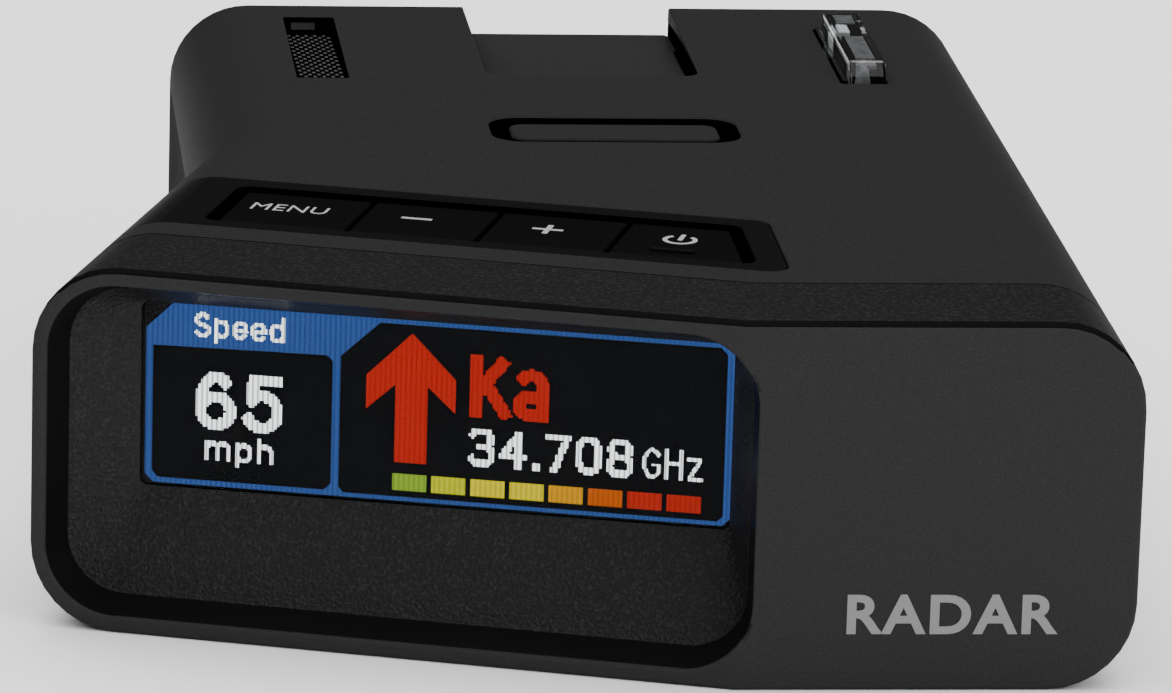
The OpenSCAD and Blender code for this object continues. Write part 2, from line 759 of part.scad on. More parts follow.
module rf_shield() color([0.7, 0.71, 0.73]) difference() {
    block(mid_x - 12, mid_x + 2, -8, 10, horn_z, horn_z + 4);
    block(mid_x - 11.7, mid_x + 1.7, -7.7, 9.7, horn_z - 1, horn_z + 3.7);
}
module processor() color([0.06, 0.06, 0.07]) block(mid_x - 22, mid_x - 12, 11, 21, horn_z,
    horn_z + 1.2);
module gps_antenna() color([0.75, 0.68, 0.5]) rounded_block(rear_x0 + 16, rear_x0 + 34,
    rear_y - 26, rear_y - 8, horn_z, horn_z + 4.2, 1);

module speaker() color([0.15, 0.15, 0.16]) translate([speaker_x, speaker_y, wall + 0.8]) {
    difference() {
        cylinder(h = 2.6, r = speaker_r);
        translate([0, 0, -1]) cylinder(h = 2.2, r1 = speaker_r, r2 = speaker_r - 4);
    }
    translate([0, 0, 2.5]) cylinder(h = 2.2, r = speaker_r * 0.5);
}
module speaker_gasket() color([0.08, 0.08, 0.08]) translate([speaker_x, speaker_y, wall])
    difference() {
        cylinder(h = 0.75, r = speaker_r);
        translate([0, 0, -1]) cylinder(h = 3, r = speaker_r - 1.5);
    }

// Clear light guide: foot below the cover, prism above it with a sloped front and rear
module periscope_lens() color([0.8, 0.85, 0.88]) {
    y0 = lens_y1 - lens_l;
    foot_z = inner_z - 1.2;
    cham = 0.7;
    rotate([90, 0, 90]) translate([0, 0, lens_x0]) linear_extrude(lens_w)
        polygon([[y0, foot_z], [lens_y1, foot_z], [lens_y1, body_h + lens_up * 0.4],
            [lens_y1 - cham * 2, body_h + lens_up], [y0 + cham, body_h + lens_up],
            [y0 + 0.2, body_h + lens_up * 0.45], [y0, body_h]]);
    block(lens_x0 - lens_flange, lens_x0 + eps, y0, lens_y1, foot_z, body_h + 0.25);
}
module laser_receiver() color([0.12, 0.12, 0.14]) block(lens_x0 - 1.5, lens_x0 + lens_w + 1.5,
    lens_y1 - lens_l + 1.4, lens_y1 - 1.4, inner_z - 3, inner_z - 1.35);

module sensor_ramp() color([0.1, 0.1, 0.1]) {
    g = seam / 2;
    translate([pocket_x0 + g, pocket_y1, body_h]) rotate([90, 0, 90])
        linear_extrude(pocket_w - 2 * g) polygon([[-g, -pocket_deep], [-pocket_l + g, 0],
            [-pocket_l + g, -ramp_t], [-g, -pocket_deep - ramp_t]]);
}
module sensor_window() color([0.25, 0.2, 0.22]) block(pocket_x0 + sensor_in + seam / 2,
    pocket_x0 + sensor_in + sensor_w - seam / 2, pocket_y1 + seam, pocket_y1 + seam / 2 + sensor_t,
    body_h - pocket_deep + 0.1 + seam / 2, body_h - 0.5 - seam / 2);

module rear_window() color([0.2, 0.02, 0.03]) {
    block(window_x0 + seam, window_x0 + window_w - seam, rear_y - wall, rear_y, window_z0 + seam,
        window_z0 + window_h - seam);
    block(window_x0 - 1, window_x0 + window_w + 1, rear_y - wall - 1, rear_y - wall - 0.05,
        window_z0 - 1, window_z0 + window_h + 1);
}

module bracket_socket() color([0.22, 0.22, 0.23]) difference() {
    x0 = mid_x - slot_w / 2;
    block(x0 - slot_wall, x0 + slot_w + slot_wall, rear_y - slot_l - slot_wall, rear_y - 0.1,
        slot_z - slot_wall, body_h - notch_deep - wall - 0.05);
    block(x0, x0 + slot_w, rear_y - slot_l, rear_y + 1, slot_z, slot_z + slot_h + 1);
}

// ---- sockets on the left wall ----

module power_jack() color([0.07, 0.07, 0.07]) difference() {
    block(jack_x + 0.2, jack_x + plug_l + 3.2, power_y - power_w / 2, power_y + power_w / 2,
        power_z - power_h / 2, power_z + power_h / 2);
    block(jack_x - 1, jack_x + plug_l + 0.2, power_y - plug_w / 2, power_y + plug_w / 2,
        power_z - plug_h / 2 + 0.15, power_z + plug_h / 2 + 0.15);
}
module audio_jack() color([0.07, 0.07, 0.07]) difference() {
    union() {
        block(jack_x + wall + 0.3, jack_x + audio_l + 2, audio_y - 3.2, audio_y + 3.2,
            audio_z - 3.25, audio_z + 3.1);
        translate([jack_x + 0.2, audio_y, audio_z]) rotate([0, 90, 0])
            cylinder(h = wall + 0.6, r = audio_collar_r);
    }
    translate([jack_x - 1, audio_y, audio_z]) rotate([0, 90, 0])
        cylinder(h = audio_l + 1, r = audio_r);
}
module usb_port() color([0.7, 0.7, 0.72]) difference() {
    inner_w = usb_w - 2 * usb_skin;
    inner_h = usb_h - 2 * usb_skin;
    block(jack_x + 0.3, jack_x + 6, usb_y - usb_w / 2, usb_y + usb_w / 2, usb_z - usb_h / 2,
        usb_z + usb_h / 2);
    block(jack_x - 1, jack_x + 5.2, usb_y - inner_w / 2, usb_y + inner_w / 2,
        usb_z - inner_h / 2, usb_z + inner_h / 2);
}

module case_screws() color([0.3, 0.3, 0.32]) for (p = screw_places) translate([p[0], p[1], 0]) {
    difference() {
        translate([0, 0, head_sunk]) cylinder(h = screw_head_h, r = screw_head_r);
        translate([-0.35, -1.3, -1]) cube([0.7, 2.6, 2]);
        translate([-1.3, -0.35, -1]) cube([2.6, 0.7, 2]);
    }
    translate([0, 0, 1]) cylinder(h = parting_z + 2.5, r = screw_r - 0.05);
}

front_fascia();
display_surround();
display_window();
display_panel();
display_board();
front_band();
top_cover();
bottom_case();
key_deck();
menu_key();
minus_key();
plus_key();
power_key();
menu_plunger();
minus_plunger();
plus_plunger();
power_plunger();
mute_bar();
mute_plunger();
key_switches();
mute_switch();
key_board();
mute_board();
key_flex();
display_flex();
main_board();
forward_horn();
rear_horn();
horn_covers();
rf_shield();
processor();
gps_antenna();
speaker();
speaker_gasket();
periscope_lens();
laser_receiver();
sensor_ramp();
sensor_window();
rear_window();
bracket_socket();
power_jack();
audio_jack();
usb_port();
case_screws();
board_screws();
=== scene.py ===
import math

import bmesh
import bpy
from mathutils import Matrix, Vector, geometry


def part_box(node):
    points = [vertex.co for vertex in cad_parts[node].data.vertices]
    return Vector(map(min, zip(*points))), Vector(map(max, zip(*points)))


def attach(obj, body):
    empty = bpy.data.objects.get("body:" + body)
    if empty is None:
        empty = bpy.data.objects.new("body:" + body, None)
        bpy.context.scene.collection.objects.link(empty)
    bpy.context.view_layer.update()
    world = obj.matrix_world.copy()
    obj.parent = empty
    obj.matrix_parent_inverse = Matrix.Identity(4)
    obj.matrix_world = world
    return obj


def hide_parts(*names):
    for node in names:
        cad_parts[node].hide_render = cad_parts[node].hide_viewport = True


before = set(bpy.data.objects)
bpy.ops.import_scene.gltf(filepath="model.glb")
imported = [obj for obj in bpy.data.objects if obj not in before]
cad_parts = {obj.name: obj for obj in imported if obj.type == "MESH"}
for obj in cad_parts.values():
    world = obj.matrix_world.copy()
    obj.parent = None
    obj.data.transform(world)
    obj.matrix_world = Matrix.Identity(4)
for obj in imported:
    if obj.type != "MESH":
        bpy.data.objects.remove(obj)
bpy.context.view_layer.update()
scene = bpy.context.scene


def cadBox(name):
    # low and high corner of a CAD node, in millimetres
    return [[round(v * 1000, 2) for v in corner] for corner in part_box(name)]


# everything is modelled in millimetres and scaled when a piece is finished
fasciaLow, fasciaHigh = cadBox("front_fascia")
coverLow, coverHigh = cadBox("top_cover")
caseHigh = cadBox("bottom_case")[1]
body = {"front": fasciaLow[1], "rear": coverHigh[1], "right": fasciaHigh[0], "left": -29.2, "edge": 7.1,
        "bend": 11.7, "turn": math.radians(17.5), "wall": 1.8, "seam": 0.12, "bandDepth": 12.85,
        "fascia": 1.2, "innerFront": 11.0, "rearRim": 0.45}
hullTop = coverHigh[2]
faceLength = (body["bend"] - fasciaLow[0]) / math.cos(body["turn"])
halfTurn = math.tan(body["turn"] / 2)
sinTurn = math.sin(body["turn"])
cosTurn = math.cos(body["turn"])
turnTan = math.tan(body["turn"])
middle = (body["right"] + body["left"]) / 2


def facePoint(x, depth, z):
    # x runs right from the bend along the display face, depth runs inwards
    return Vector((body["bend"] + x * cosTurn + depth * sinTurn,
                   body["front"] - x * sinTurn + depth * cosTurn, z))


def faceSpot(p):
    # the (x, depth) that facePoint would need to give the point p
    right, back = p.x - body["bend"], p.y - body["front"]
    return right * cosTurn - back * sinTurn, right * sinTurn + back * cosTurn


# where the left wall of the turned front block meets the left wall of the rear body
cornerY = body["front"] + faceLength * sinTurn
cornerY += (body["left"] - body["bend"] + faceLength * cosTurn) / turnTan


# mesh helpers


def newObject(name, verts, faces):
    mesh = bpy.data.meshes.new(name)
    mesh.from_pydata([tuple(v) for v in verts], [], faces)
    mesh.validate()
    obj = bpy.data.objects.new(name, mesh)
    scene.collection.objects.link(obj)
    return obj


def outline(corners, radii, grow=0.0, seg=6):
    # anticlockwise outline, offset outwards by grow, with an arc at each corner
    count = len(corners)
    edges = []
    for i in range(count):
        a = Vector(corners[i])
        d = (Vector(corners[(i + 1) % count]) - a).normalized()
        edges.append((a + Vector((d.y, -d.x)) * grow, d))
    points = []
    for i in range(count):
        p1, d1 = edges[i - 1]
        p2, d2 = edges[i]
        cross = d1.x * d2.y - d1.y * d2.x
        gap = p2 - p1
        corner = p1 + d1 * ((gap.x * d2.y - gap.y * d2.x) / cross)
        if radii[i] == 0:
            points.append(corner)
            continue
        radius = max(radii[i] + (grow if cross > 0 else -grow), 0.02)
        half = math.acos(max(-1.0, min(1.0, -d1.dot(d2)))) / 2
        centre = corner + (d2 - d1).normalized() * (radius / math.sin(half))
        arm = corner - d1 * (radius / math.tan(half)) - centre
        sweep = (math.pi - 2 * half) * (1 if cross > 0 else -1)
        for k in range(seg + 1):
            w = sweep * k / seg
            points.append(centre + Vector((arm.x * math.cos(w) - arm.y * math.sin(w),
                                           arm.x * math.sin(w) + arm.y * math.cos(w))))
    return points


def rectOutline(x0, x1, y0, y1, radius, grow=0.0, seg=6):
    return outline([(x0, y0), (x1, y0), (x1, y1), (x0, y1)], [radius] * 4, grow, seg)


def loftFaces(loops):
    count = len(loops[0])
    faces = []
    for i in range(len(loops) - 1):
        for j in range(count):
            k = (j + 1) % count
            faces.append((i * count + j, i * count + k, (i + 1) * count + k, (i + 1) * count + j))
    return faces


def loft(name, loops, capped=True):
    count = len(loops[0])
    faces = loftFaces(loops)
    if capped:
        faces.append(tuple(reversed(range(count))))
        faces.append(tuple(range((len(loops) - 1) * count, len(loops) * count)))
    return newObject(name, [p for loop in loops for p in loop], faces)


def upright(points, z):
    return [Vector((p[0], p[1], z)) for p in points]


def turnedUp(points, z):
    return [facePoint(p[0], p[1], z) for p in points]


def box(name, x0, x1, y0, y1, z0, z1):
    loops = [upright([(x0, y0), (x1, y0), (x1, y1), (x0, y1)], z) for z in (z0, z1)]
    return loft(name, loops)


def tube(name, centre, axis, profile, seg=32, capped=True):
    # profile is a list of (distance along the axis, radius)
    axis = Vector(axis).normalized()
    side = axis.orthogonal().normalized()
    other = axis.cross(side)
    loops = []
    for along, radius in profile:
        loops.append([Vector(centre) + axis * along + (side * math.cos(w) + other * math.sin(w)) * radius
                      for w in [2 * math.pi * k / seg for k in range(seg)]])
    return loft(name, loops, capped)


def fixNormals(obj):
    bm = bmesh.new()
    bm.from_mesh(obj.data)
    bmesh.ops.recalc_face_normals(bm, faces=bm.faces)
    bm.to_mesh(obj.data)
    bm.free()


def combine(target, tool, operation="DIFFERENCE"):
    fixNormals(target)
    fixNormals(tool)
    step = target.modifiers.new("combine", "BOOLEAN")
    step.object = tool
    step.operation = operation
    step.solver = "EXACT"
    result = target.evaluated_get(bpy.context.evaluated_depsgraph_get())
    mesh = bpy.data.meshes.new_from_object(result)
    target.modifiers.clear()
    target.data = mesh
    bpy.data.objects.remove(tool)
    return target


def joinPieces(name, parts):
    verts = []
    faces = []
    for part in parts:
        start = len(verts)
        verts += [part.matrix_world @ v.co for v in part.data.vertices]
        faces += [tuple(start + i for i in p.vertices) for p in part.data.polygons]
        bpy.data.objects.remove(part)
    return newObject(name, verts, faces)


def finish(obj, material, bodyName, nodes, sharp=28.0, orient=True):
    if orient:
        fixNormals(obj)
    obj.data.transform(Matrix.Scale(0.001, 4))
    obj.data.shade_smooth()
    obj.data.set_sharp_from_angle(angle=math.radians(sharp))
    weighted = obj.modifiers.new("weighted", "WEIGHTED_NORMAL")
    weighted.keep_sharp = True
    obj.data.materials.clear()
    obj.data.materials.append(material)
    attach(obj, bodyName)
    if nodes:
        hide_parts(*nodes)
    return obj


def paintWhere(obj, material, test):
    # a second look for the faces whose middle, in mm, passes the test
    obj.data.materials.append(material)
    slotNumber = len(obj.data.materials) - 1
    for poly in obj.data.polygons:
        if test(poly.center * 1000, poly.normal):
            poly.material_index = slotNumber


def roundSteps(radius, count=4):
    # (inset, drop) pairs of a rounded edge, from the side wall up to the face
    return [(radius * (1 - math.cos(w)), radius * (1 - math.sin(w)))
            for w in [math.radians(90.0) * k / count for k in range(count + 1)]]


def arcPoints(cx, cy, radius, start, end, seg):
    return [(cx + radius * math.cos(w), cy + radius * math.sin(w))
            for w in [math.radians(start + (end - start) * k / seg) for k in range(seg + 1)]]


# materials


def addNode(tree, kind, values=(), **settings):
    # a shader node with its settings and its fixed socket values
    node = tree.nodes.new("ShaderNode" + kind)
    for name, value in settings.items():
        setattr(node, name, value)
    for socket, value in dict(values).items():
        node.inputs[socket].default_value = value
    return node


def wire(tree, *links):
    # each link reads: node, its output, next node, that node's input
    for start, output, end, entry in links:
        tree.links.new(start.outputs[output], end.inputs[entry])


def nodeMaterial(name):
    mat = bpy.data.materials.new(name)
    mat.use_nodes = True
    return mat, mat.node_tree, mat.node_tree.nodes["Principled BSDF"]


def makeGroup(name, inputs, outputs):
    group = bpy.data.node_groups.new(name, "ShaderNodeTree")
    for label, value in inputs.items():
        socket = group.interface.new_socket(label, in_out="INPUT", socket_type="NodeSocketFloat")
        socket.default_value = value
    for label, kind in outputs.items():
        group.interface.new_socket(label, in_out="OUTPUT", socket_type=kind)
    return group, group.nodes.new("NodeGroupInput"), group.nodes.new("NodeGroupOutput")


# moulded grain: fine pits with a little large-scale waviness
grainGroup, grainIn, grainOut = makeGroup(
    "mouldGrain", {"Grain size": 3000.0, "Grain depth": 0.2, "Relief": 0.00003},
    {"Normal": "NodeSocketVector", "Speck": "NodeSocketFloat", "Cloud": "NodeSocketFloat"})
place = addNode(grainGroup, "TexCoord")
pits = addNode(grainGroup, "TexNoise", {"Detail": 3.0, "Roughness": 0.65})
cells = addNode(grainGroup, "TexVoronoi")
cloud = addNode(grainGroup, "TexNoise", {"Scale": 60.0, "Detail": 4.0})
blend = addNode(grainGroup, "Math", {1: 0.6}, operation="MULTIPLY_ADD")
bump = addNode(grainGroup, "Bump")
speck = addNode(grainGroup, "MapRange", {"From Min": 0.5, "From Max": 0.66})
wire(grainGroup, (place, "Object", pits, "Vector"), (place, "Object", cells, "Vector"),
     (place, "Object", cloud, "Vector"), (grainIn, "Grain size", pits, "Scale"),
     (grainIn, "Grain size", cells, "Scale"), (cells, "Distance", blend, 0), (pits, "Fac", blend, 2),
     (blend, "Value", bump, "Height"), (grainIn, "Grain depth", bump, "Strength"),
     (grainIn, "Relief", bump, "Distance"), (pits, "Fac", speck, "Value"),
     (bump, "Normal", grainOut, "Normal"), (speck, "Result", grainOut, "Speck"),
     (cloud, "Fac", grainOut, "Cloud"))

# handling marks: faint greasy smudges and edges polished lighter by touch
touchGroup, touchIn, touchOut = makeGroup(
    "handling", {"Smudge": 0.05, "Edge width": 0.0004},
    {"Rough shift": "NodeSocketFloat", "Edge": "NodeSocketFloat"})
where = addNode(touchGroup, "TexCoord")
smear = addNode(touchGroup, "TexNoise", {"Scale": 45.0, "Detail": 5.0, "Distortion": 1.4})
centred = addNode(touchGroup, "Math", {1: 0.5}, operation="SUBTRACT")
amount = addNode(touchGroup, "Math", operation="MULTIPLY")
rounder = addNode(touchGroup, "Bevel", samples=4)
plain = addNode(touchGroup, "NewGeometry")
agree = addNode(touchGroup, "VectorMath", operation="DOT_PRODUCT")
edge = addNode(touchGroup, "MapRange", {"From Min": 0.995, "From Max": 0.9})
wire(touchGroup, (where, "Object", smear, "Vector"), (smear, "Fac", centred, 0),
     (centred, "Value", amount, 0), (touchIn, "Smudge", amount, 1),
     (touchIn, "Edge width", rounder, "Radius"), (rounder, "Normal", agree, 0),
     (plain, "Normal", agree, 1), (agree, "Value", edge, "Value"),
     (amount, "Value", touchOut, "Rough shift"), (edge, "Result", touchOut, "Edge"))


def moulded(name, look):
    # one plastic: base colour, grain, smudges and lighter touched edges
    mat, tree, shader = nodeMaterial(name)
    bright = [min(1, c * look.get("sparkle", 1.3)) for c in look["color"]]
    polished = [c * 1.6 + 0.002 for c in look["color"]]
    grain = addNode(tree, "Group", node_tree=grainGroup)
    grain.inputs["Grain size"].default_value = look["grain"]
    grain.inputs["Grain depth"].default_value = look["depth"]
    grain.inputs["Relief"].default_value = look.get("relief", 0.00003)
    touch = addNode(tree, "Group", node_tree=touchGroup)
    touch.inputs["Smudge"].default_value = look.get("smudge", 0.08)
    tone = addNode(tree, "Mix", data_type="RGBA")
    tone.inputs["A"].default_value = (*look["color"], 1)
    tone.inputs["B"].default_value = (*bright, 1)
    worn = addNode(tree, "Mix", data_type="RGBA")
    worn.inputs["B"].default_value = (*polished, 1)
    wear = addNode(tree, "Math", {1: look.get("wear", 0.35)}, operation="MULTIPLY")
    rough = addNode(tree, "Math", {1: look["rough"]})
    wire(tree, (grain, "Speck", tone, "Factor"), (touch, "Edge", wear, 0), (wear, "Value", worn, "Factor"),
         (tone, "Result", worn, "A"), (worn, "Result", shader, "Base Color"),
         (touch, "Rough shift", rough, 0), (rough, "Value", shader, "Roughness"),
         (grain, "Normal", shader, "Normal"))
    shader.inputs["Specular IOR Level"].default_value = look.get("shine", 0.06)
    shader.inputs["Metallic"].default_value = look.get("metal", 0.0)
    return mat


def lit(name, color, stripes):
    # a display colour: emission with fine vertical columns along the screen
    mat, tree, shader = nodeMaterial(name)
    coord = addNode(tree, "TexCoord")
    turnTo = addNode(tree, "Mapping", {"Rotation": (0, 0, body["turn"] - screen["lean"])})
    wave = addNode(tree, "TexWave", {"Scale": screen["columns"]})
    shade = addNode(tree, "MapRange", {"From Min": 0.0, "From Max": 0.6, "To Min": 1.0 - stripes})
    mixed = addNode(tree, "Mix", data_type="RGBA")
    mixed.inputs["A"].default_value = (0, 0, 0, 1)
    mixed.inputs["B"].default_value = (*color, 1)
    wire(tree, (coord, "Object", turnTo, "Vector"), (turnTo, "Vector", wave, "Vector"),
         (wave, "Fac", shade, "Value"), (shade, "Result", mixed, "Factor"),
         (mixed, "Result", shader, "Emission Color"))
    shader.inputs["Emission Strength"].default_value = screen["glow"]
    shader.inputs["Base Color"].default_value = (0.002, 0.002, 0.0025, 1)
    shader.inputs["Specular IOR Level"].default_value = 0.0
    shader.inputs["Roughness"].default_value = 0.4
    return mat


softTouch = moulded("softTouch", {"color": (0.0235, 0.0235, 0.0239), "grain": 5200.0, "depth": 0.10,
                                  "rough": 0.52, "smudge": 0.06, "wear": 0.2, "shine": 0.015})
collarBlack = moulded("collarBlack", {"color": (0.0035, 0.0035, 0.0038), "grain": 5200.0,
                                      "depth": 0.04, "rough": 0.36, "smudge": 0.08, "shine": 0.12})
bandGrain = moulded("bandGrain", {"color": (0.0042, 0.0042, 0.0044), "grain": 2600.0, "depth": 0.7,
                                  "relief": 0.00006, "rough": 0.55, "sparkle": 3.0, "smudge": 0.05,
                                  "shine": 0.03})
# painted shade for the upward-facing faces of the fascia's top lip
lipPaintedShade = moulded("lipPaintedShade", {"color": (0.004, 0.004, 0.0042), "grain": 5200.0, "depth": 0.1,
                                "rough": 0.6, "wear": 0.1, "shine": 0.0})
coverShell = moulded("coverShell", {"color": (0.0136, 0.0136, 0.0138), "grain": 4800.0, "depth": 0.12,
                                    "rough": 0.55, "smudge": 0.07, "wear": 0.25, "shine": 0.006})
caseShell = moulded("caseShell", {"color": (0.005, 0.005, 0.0052), "grain": 2400.0, "depth": 0.35,
                                  "rough": 0.6, "sparkle": 1.5, "shine": 0.002})
scoopGrain = moulded("scoopGrain", {"color": (0.004, 0.004, 0.0042), "grain": 3300.0, "depth": 1.0,
                                    "relief": 0.00012, "rough": 0.42, "sparkle": 4.2, "wear": 0.1,
                                    "shine": 0.2})
deckBlack = moulded("deckBlack", {"color": (0.0021, 0.0021, 0.0023), "grain": 4200.0, "depth": 0.12,
                                  "rough": 0.46, "smudge": 0.1, "wear": 0.4, "shine": 0.012})
keyBlack = moulded("keyBlack", {"color": (0.0013, 0.0013, 0.0015), "grain": 4200.0, "depth": 0.12,
                                "rough": 0.47, "smudge": 0.14, "wear": 0.4, "shine": 0.008})
# painted shade: a near-black colour laid on the faces down in wells, gaps and hollows, and on dark blocks
# inside the lens
paintedShadeBlack = moulded("paintedShadeBlack", {"color": (0.0004, 0.0004, 0.00045), "grain": 3000.0, "depth": 0.2,
                                  "rough": 0.7, "shine": 0.0, "wear": 0.0, "smudge": 0.02})
# painted light: a lighter grey for the lit tops of the sensor ribs
ribTopLitGrey = moulded("ribTopLitGrey", {"color": (0.03, 0.03, 0.03), "grain": 3000.0, "depth": 0.1, "rough": 0.4,
                              "shine": 0.1, "wear": 0.0})
legendPrint = moulded("legendPrint", {"color": (0.27, 0.27, 0.28), "grain": 3000.0, "depth": 0.08,
                                      "rough": 0.55, "sparkle": 0.9, "wear": 0.0})
markPrint = moulded("markPrint", {"color": (0.21, 0.21, 0.215), "grain": 3600.0, "depth": 0.08,
                                  "rough": 0.42, "sparkle": 1.05, "wear": 0.0})
boardGreen = moulded("boardGreen", {"color": (0.012, 0.09, 0.035), "grain": 900.0, "depth": 0.1,
                                    "rough": 0.32, "sparkle": 1.3})
chipBlack = moulded("chipBlack", {"color": (0.02, 0.02, 0.021), "grain": 2600.0, "depth": 0.2,
                                  "rough": 0.6})
jackBlack = moulded("jackBlack", {"color": (0.014, 0.014, 0.014), "grain": 2600.0, "depth": 0.15,
                                  "rough": 0.42})
ceramicTan = moulded("ceramicTan", {"color": (0.5, 0.4, 0.22), "grain": 2200.0, "depth": 0.2,
                                    "rough": 0.6, "sparkle": 0.85})
foamWhite = moulded("foamWhite", {"color": (0.7, 0.69, 0.64), "grain": 1500.0, "depth": 0.6,
                                  "rough": 0.9, "sparkle": 0.85})
creamPlastic = moulded("creamPlastic", {"color": (0.6, 0.56, 0.45), "grain": 2600.0, "depth": 0.1,
                                        "rough": 0.5})
flexAmber = moulded("flexAmber", {"color": (0.36, 0.13, 0.02), "grain": 700.0, "depth": 0.15,
                                  "rough": 0.25})
castMetal = moulded("castMetal", {"color": (0.55, 0.56, 0.58), "grain": 1500.0, "depth": 0.3,
                                  "rough": 0.38, "metal": 1.0, "shine": 0.5, "sparkle": 0.85})
tinned = moulded("tinned", {"color": (0.62, 0.63, 0.65), "grain": 500.0, "depth": 0.08,
                            "rough": 0.25, "metal": 1.0, "shine": 0.5, "sparkle": 0.9})
blackSteel = moulded("blackSteel", {"color": (0.12, 0.12, 0.125), "grain": 1800.0, "depth": 0.2,
                                    "rough": 0.35, "metal": 1.0, "shine": 0.5, "sparkle": 1.3})
pinGold = moulded("pinGold", {"color": (0.75, 0.52, 0.2), "grain": 900.0, "depth": 0.06,
                              "rough": 0.25, "metal": 1.0, "shine": 0.5, "sparkle": 0.9})


def clearPlastic(name, tint, rough, amount):
    mat, tree, shader = nodeMaterial(name)
    grain = addNode(tree, "Group", {"Grain size": 700.0, "Grain depth": 0.12}, node_tree=grainGroup)
    touch = addNode(tree, "Group", {"Smudge": 0.06}, node_tree=touchGroup)
    haze = addNode(tree, "Math", {1: rough})
    wire(tree, (touch, "Rough shift", haze, 0), (haze, "Value", shader, "Roughness"),
         (grain, "Normal", shader, "Normal"))
    shader.inputs["Base Color"].default_value = (*tint, 1)
    shader.inputs["Transmission Weight"].default_value = amount
    shader.inputs["IOR"].default_value = 1.5
    return mat


lensClear = clearPlastic("lensClear", (0.93, 0.95, 0.97), 0.06, 1.0)
windowTint = clearPlastic("windowTint", (0.02, 0.003, 0.004), 0.12, 0.3)
sensorSmoke = clearPlastic("sensorSmoke", (0.10, 0.10, 0.11), 0.15, 0.5)
print("materials ready")


# the case's outer form


def leftPoint(station, q, z, start):
    # a point q inwards from the left wall: at the front, at the corner, or at some y behind it
    if station == "front":
        return facePoint(-faceLength + q, start, z)
    y = cornerY - q * halfTurn if station == "corner" else station
    return Vector((body["left"] + q, y, z))


def rightPoint(station, q, z, start):
    y = {"front": body["front"] + start, "corner": cornerY}.get(station, station)
    return Vector((body["right"] - q, y, z))


def middlePoint(station, z, start):
    if station == "front":
        return Vector((body["bend"] + start * halfTurn, body["front"] + start, z))
    return Vector((body["bend"], cornerY if station == "corner" else station, z))


def sideProfile(inset, edgeZ, top):
    # (q, z) from the parting line to the flat, for the upper or the lower half
    radius = body["edge"] - inset
    flat = hullTop - inset if top else inset
    sign = 1 if top else -1
    points = [(inset, edgeZ)]
    for k in range(11):
        w = math.radians(9.0) * k
        points.append((inset + radius * (1 - math.cos(w)), flat - sign * radius * (1 - math.sin(w))))
    return points


def shellForm(name, inset, edgeZ, top, start, end, rounded=0.0):
    # closed solid: profile loops at each station, flat on the parting side
    rearEdge = [(end, 0.0)]
    if rounded:
        rearEdge = sorted((end - back, extra) for extra, back in roundSteps(rounded))
    loops = []
    for station, extra in [("front", 0.0), ("corner", 0.0)] + rearEdge:
        profile = sideProfile(inset + extra, edgeZ, top)
        flat = profile[-1][1]
        loop = [leftPoint(station, q, z, start) for q, z in profile]
        loop.append(middlePoint(station, flat, start))
        loop += [rightPoint(station, q, z, start) for q, z in reversed(profile)]
        loop.append(middlePoint(station, edgeZ, start))
        loops.append(loop)
    count = len(loops[0])
    half = count // 2 - 1
    faces = loftFaces(loops)
    for base in (0, (len(loops) - 1) * count):
        faces.append(tuple([base + i for i in range(half + 1)] + [base + count - 1]))
        faces.append(tuple(base + i for i in range(half, count)))
    return newObject(name, [p for loop in loops for p in loop], faces)


def innerForm(edgeZ, top):
    # what is cut away to leave the wall
    return shellForm("inner", body["wall"], edgeZ, top, body["innerFront"], body["rear"] - body["wall"])


def flared(name, outlineAt, z0, g0, rim, floor=None, place=upright):
    # a cutter with straight walls that flare into a rounded rim at the surface
    base = outlineAt(g0)
    lows = [floor(p) if floor else z0 for p in base]
    radius = [min(rim, max(0.01, 0.45 * (hullTop - low))) for low in lows]
    loops = [[place([p], low)[0] for p, low in zip(base, lows)]]
    wide = outlineAt(g0 + 1.0)  # one mm further out gives the way each point moves
    for k in range(6):
        w = math.radians(15.0 * k)
        loop = []
        for p, q, r in zip(base, wide, radius):
            out = p + (q - p) * (r * (1 - math.cos(w)))
            loop.append(place([out], hullTop - r + r * math.sin(w))[0])
        loops.append(loop)
    loops.append([Vector((v.x, v.y, hullTop + 1.5)) for v in loops[-1]])
    return loft(name, loops)


# fascia with its bent face and the recess collar

recess = {"x0": -faceLength + 1.3, "x1": 1.2, "z0": 1.4, "z1": 29.0, "radius": 5.8,
          "collarDepth": 3.4, "collarIn": 0.95, "rim": 0.35}
screen = {"x0": -50.8, "x1": -2.2, "z0": 11.0, "z1": 26.5, "depth": 6.7, "mid": -26.5,
          "lean": math.radians(2.1), "columns": 748.0, "glow": 1.0}


def faceLoop(inset, seg=8, runs=6):
    # list of (u, z): u < 0 on the display face, u > 0 on the plain face
    radius = body["edge"] - inset
    low, high = inset, hullTop - inset
    x0 = -faceLength + inset
    x1 = body["right"] - body["bend"] - inset
    points = [(0.0, high)]
    points += [(x0 + radius) * k / runs for k in range(1, runs)]
    points[1:] = [(u, high) for u in points[1:]]
    points += arcPoints(x0 + radius, high - radius, radius, 90, 180, seg)
    points += arcPoints(x0 + radius, low + radius, radius, 180, 270, seg)
    points += [((x0 + radius) * (1 - k / runs), low) for k in range(1, runs)]
    points.append((0.0, low))
    points += [((x1 - radius) * k / runs, low) for k in range(1, runs)]
    points += arcPoints(x1 - radius, low + radius, radius, 270, 360, seg)
    points += arcPoints(x1 - radius, high - radius, radius, 0, 90, seg)
    points += [((x1 - radius) * (1 - k / runs), high) for k in range(1, runs)]
    return points


def bentPoint(u, depth, z):
    shift = depth * halfTurn
    if abs(u) <= shift:
        return facePoint(-shift, depth, z)
    if u < 0:
        return facePoint(u, depth, z)
    return Vector((body["bend"] + u, body["front"] + depth, z))


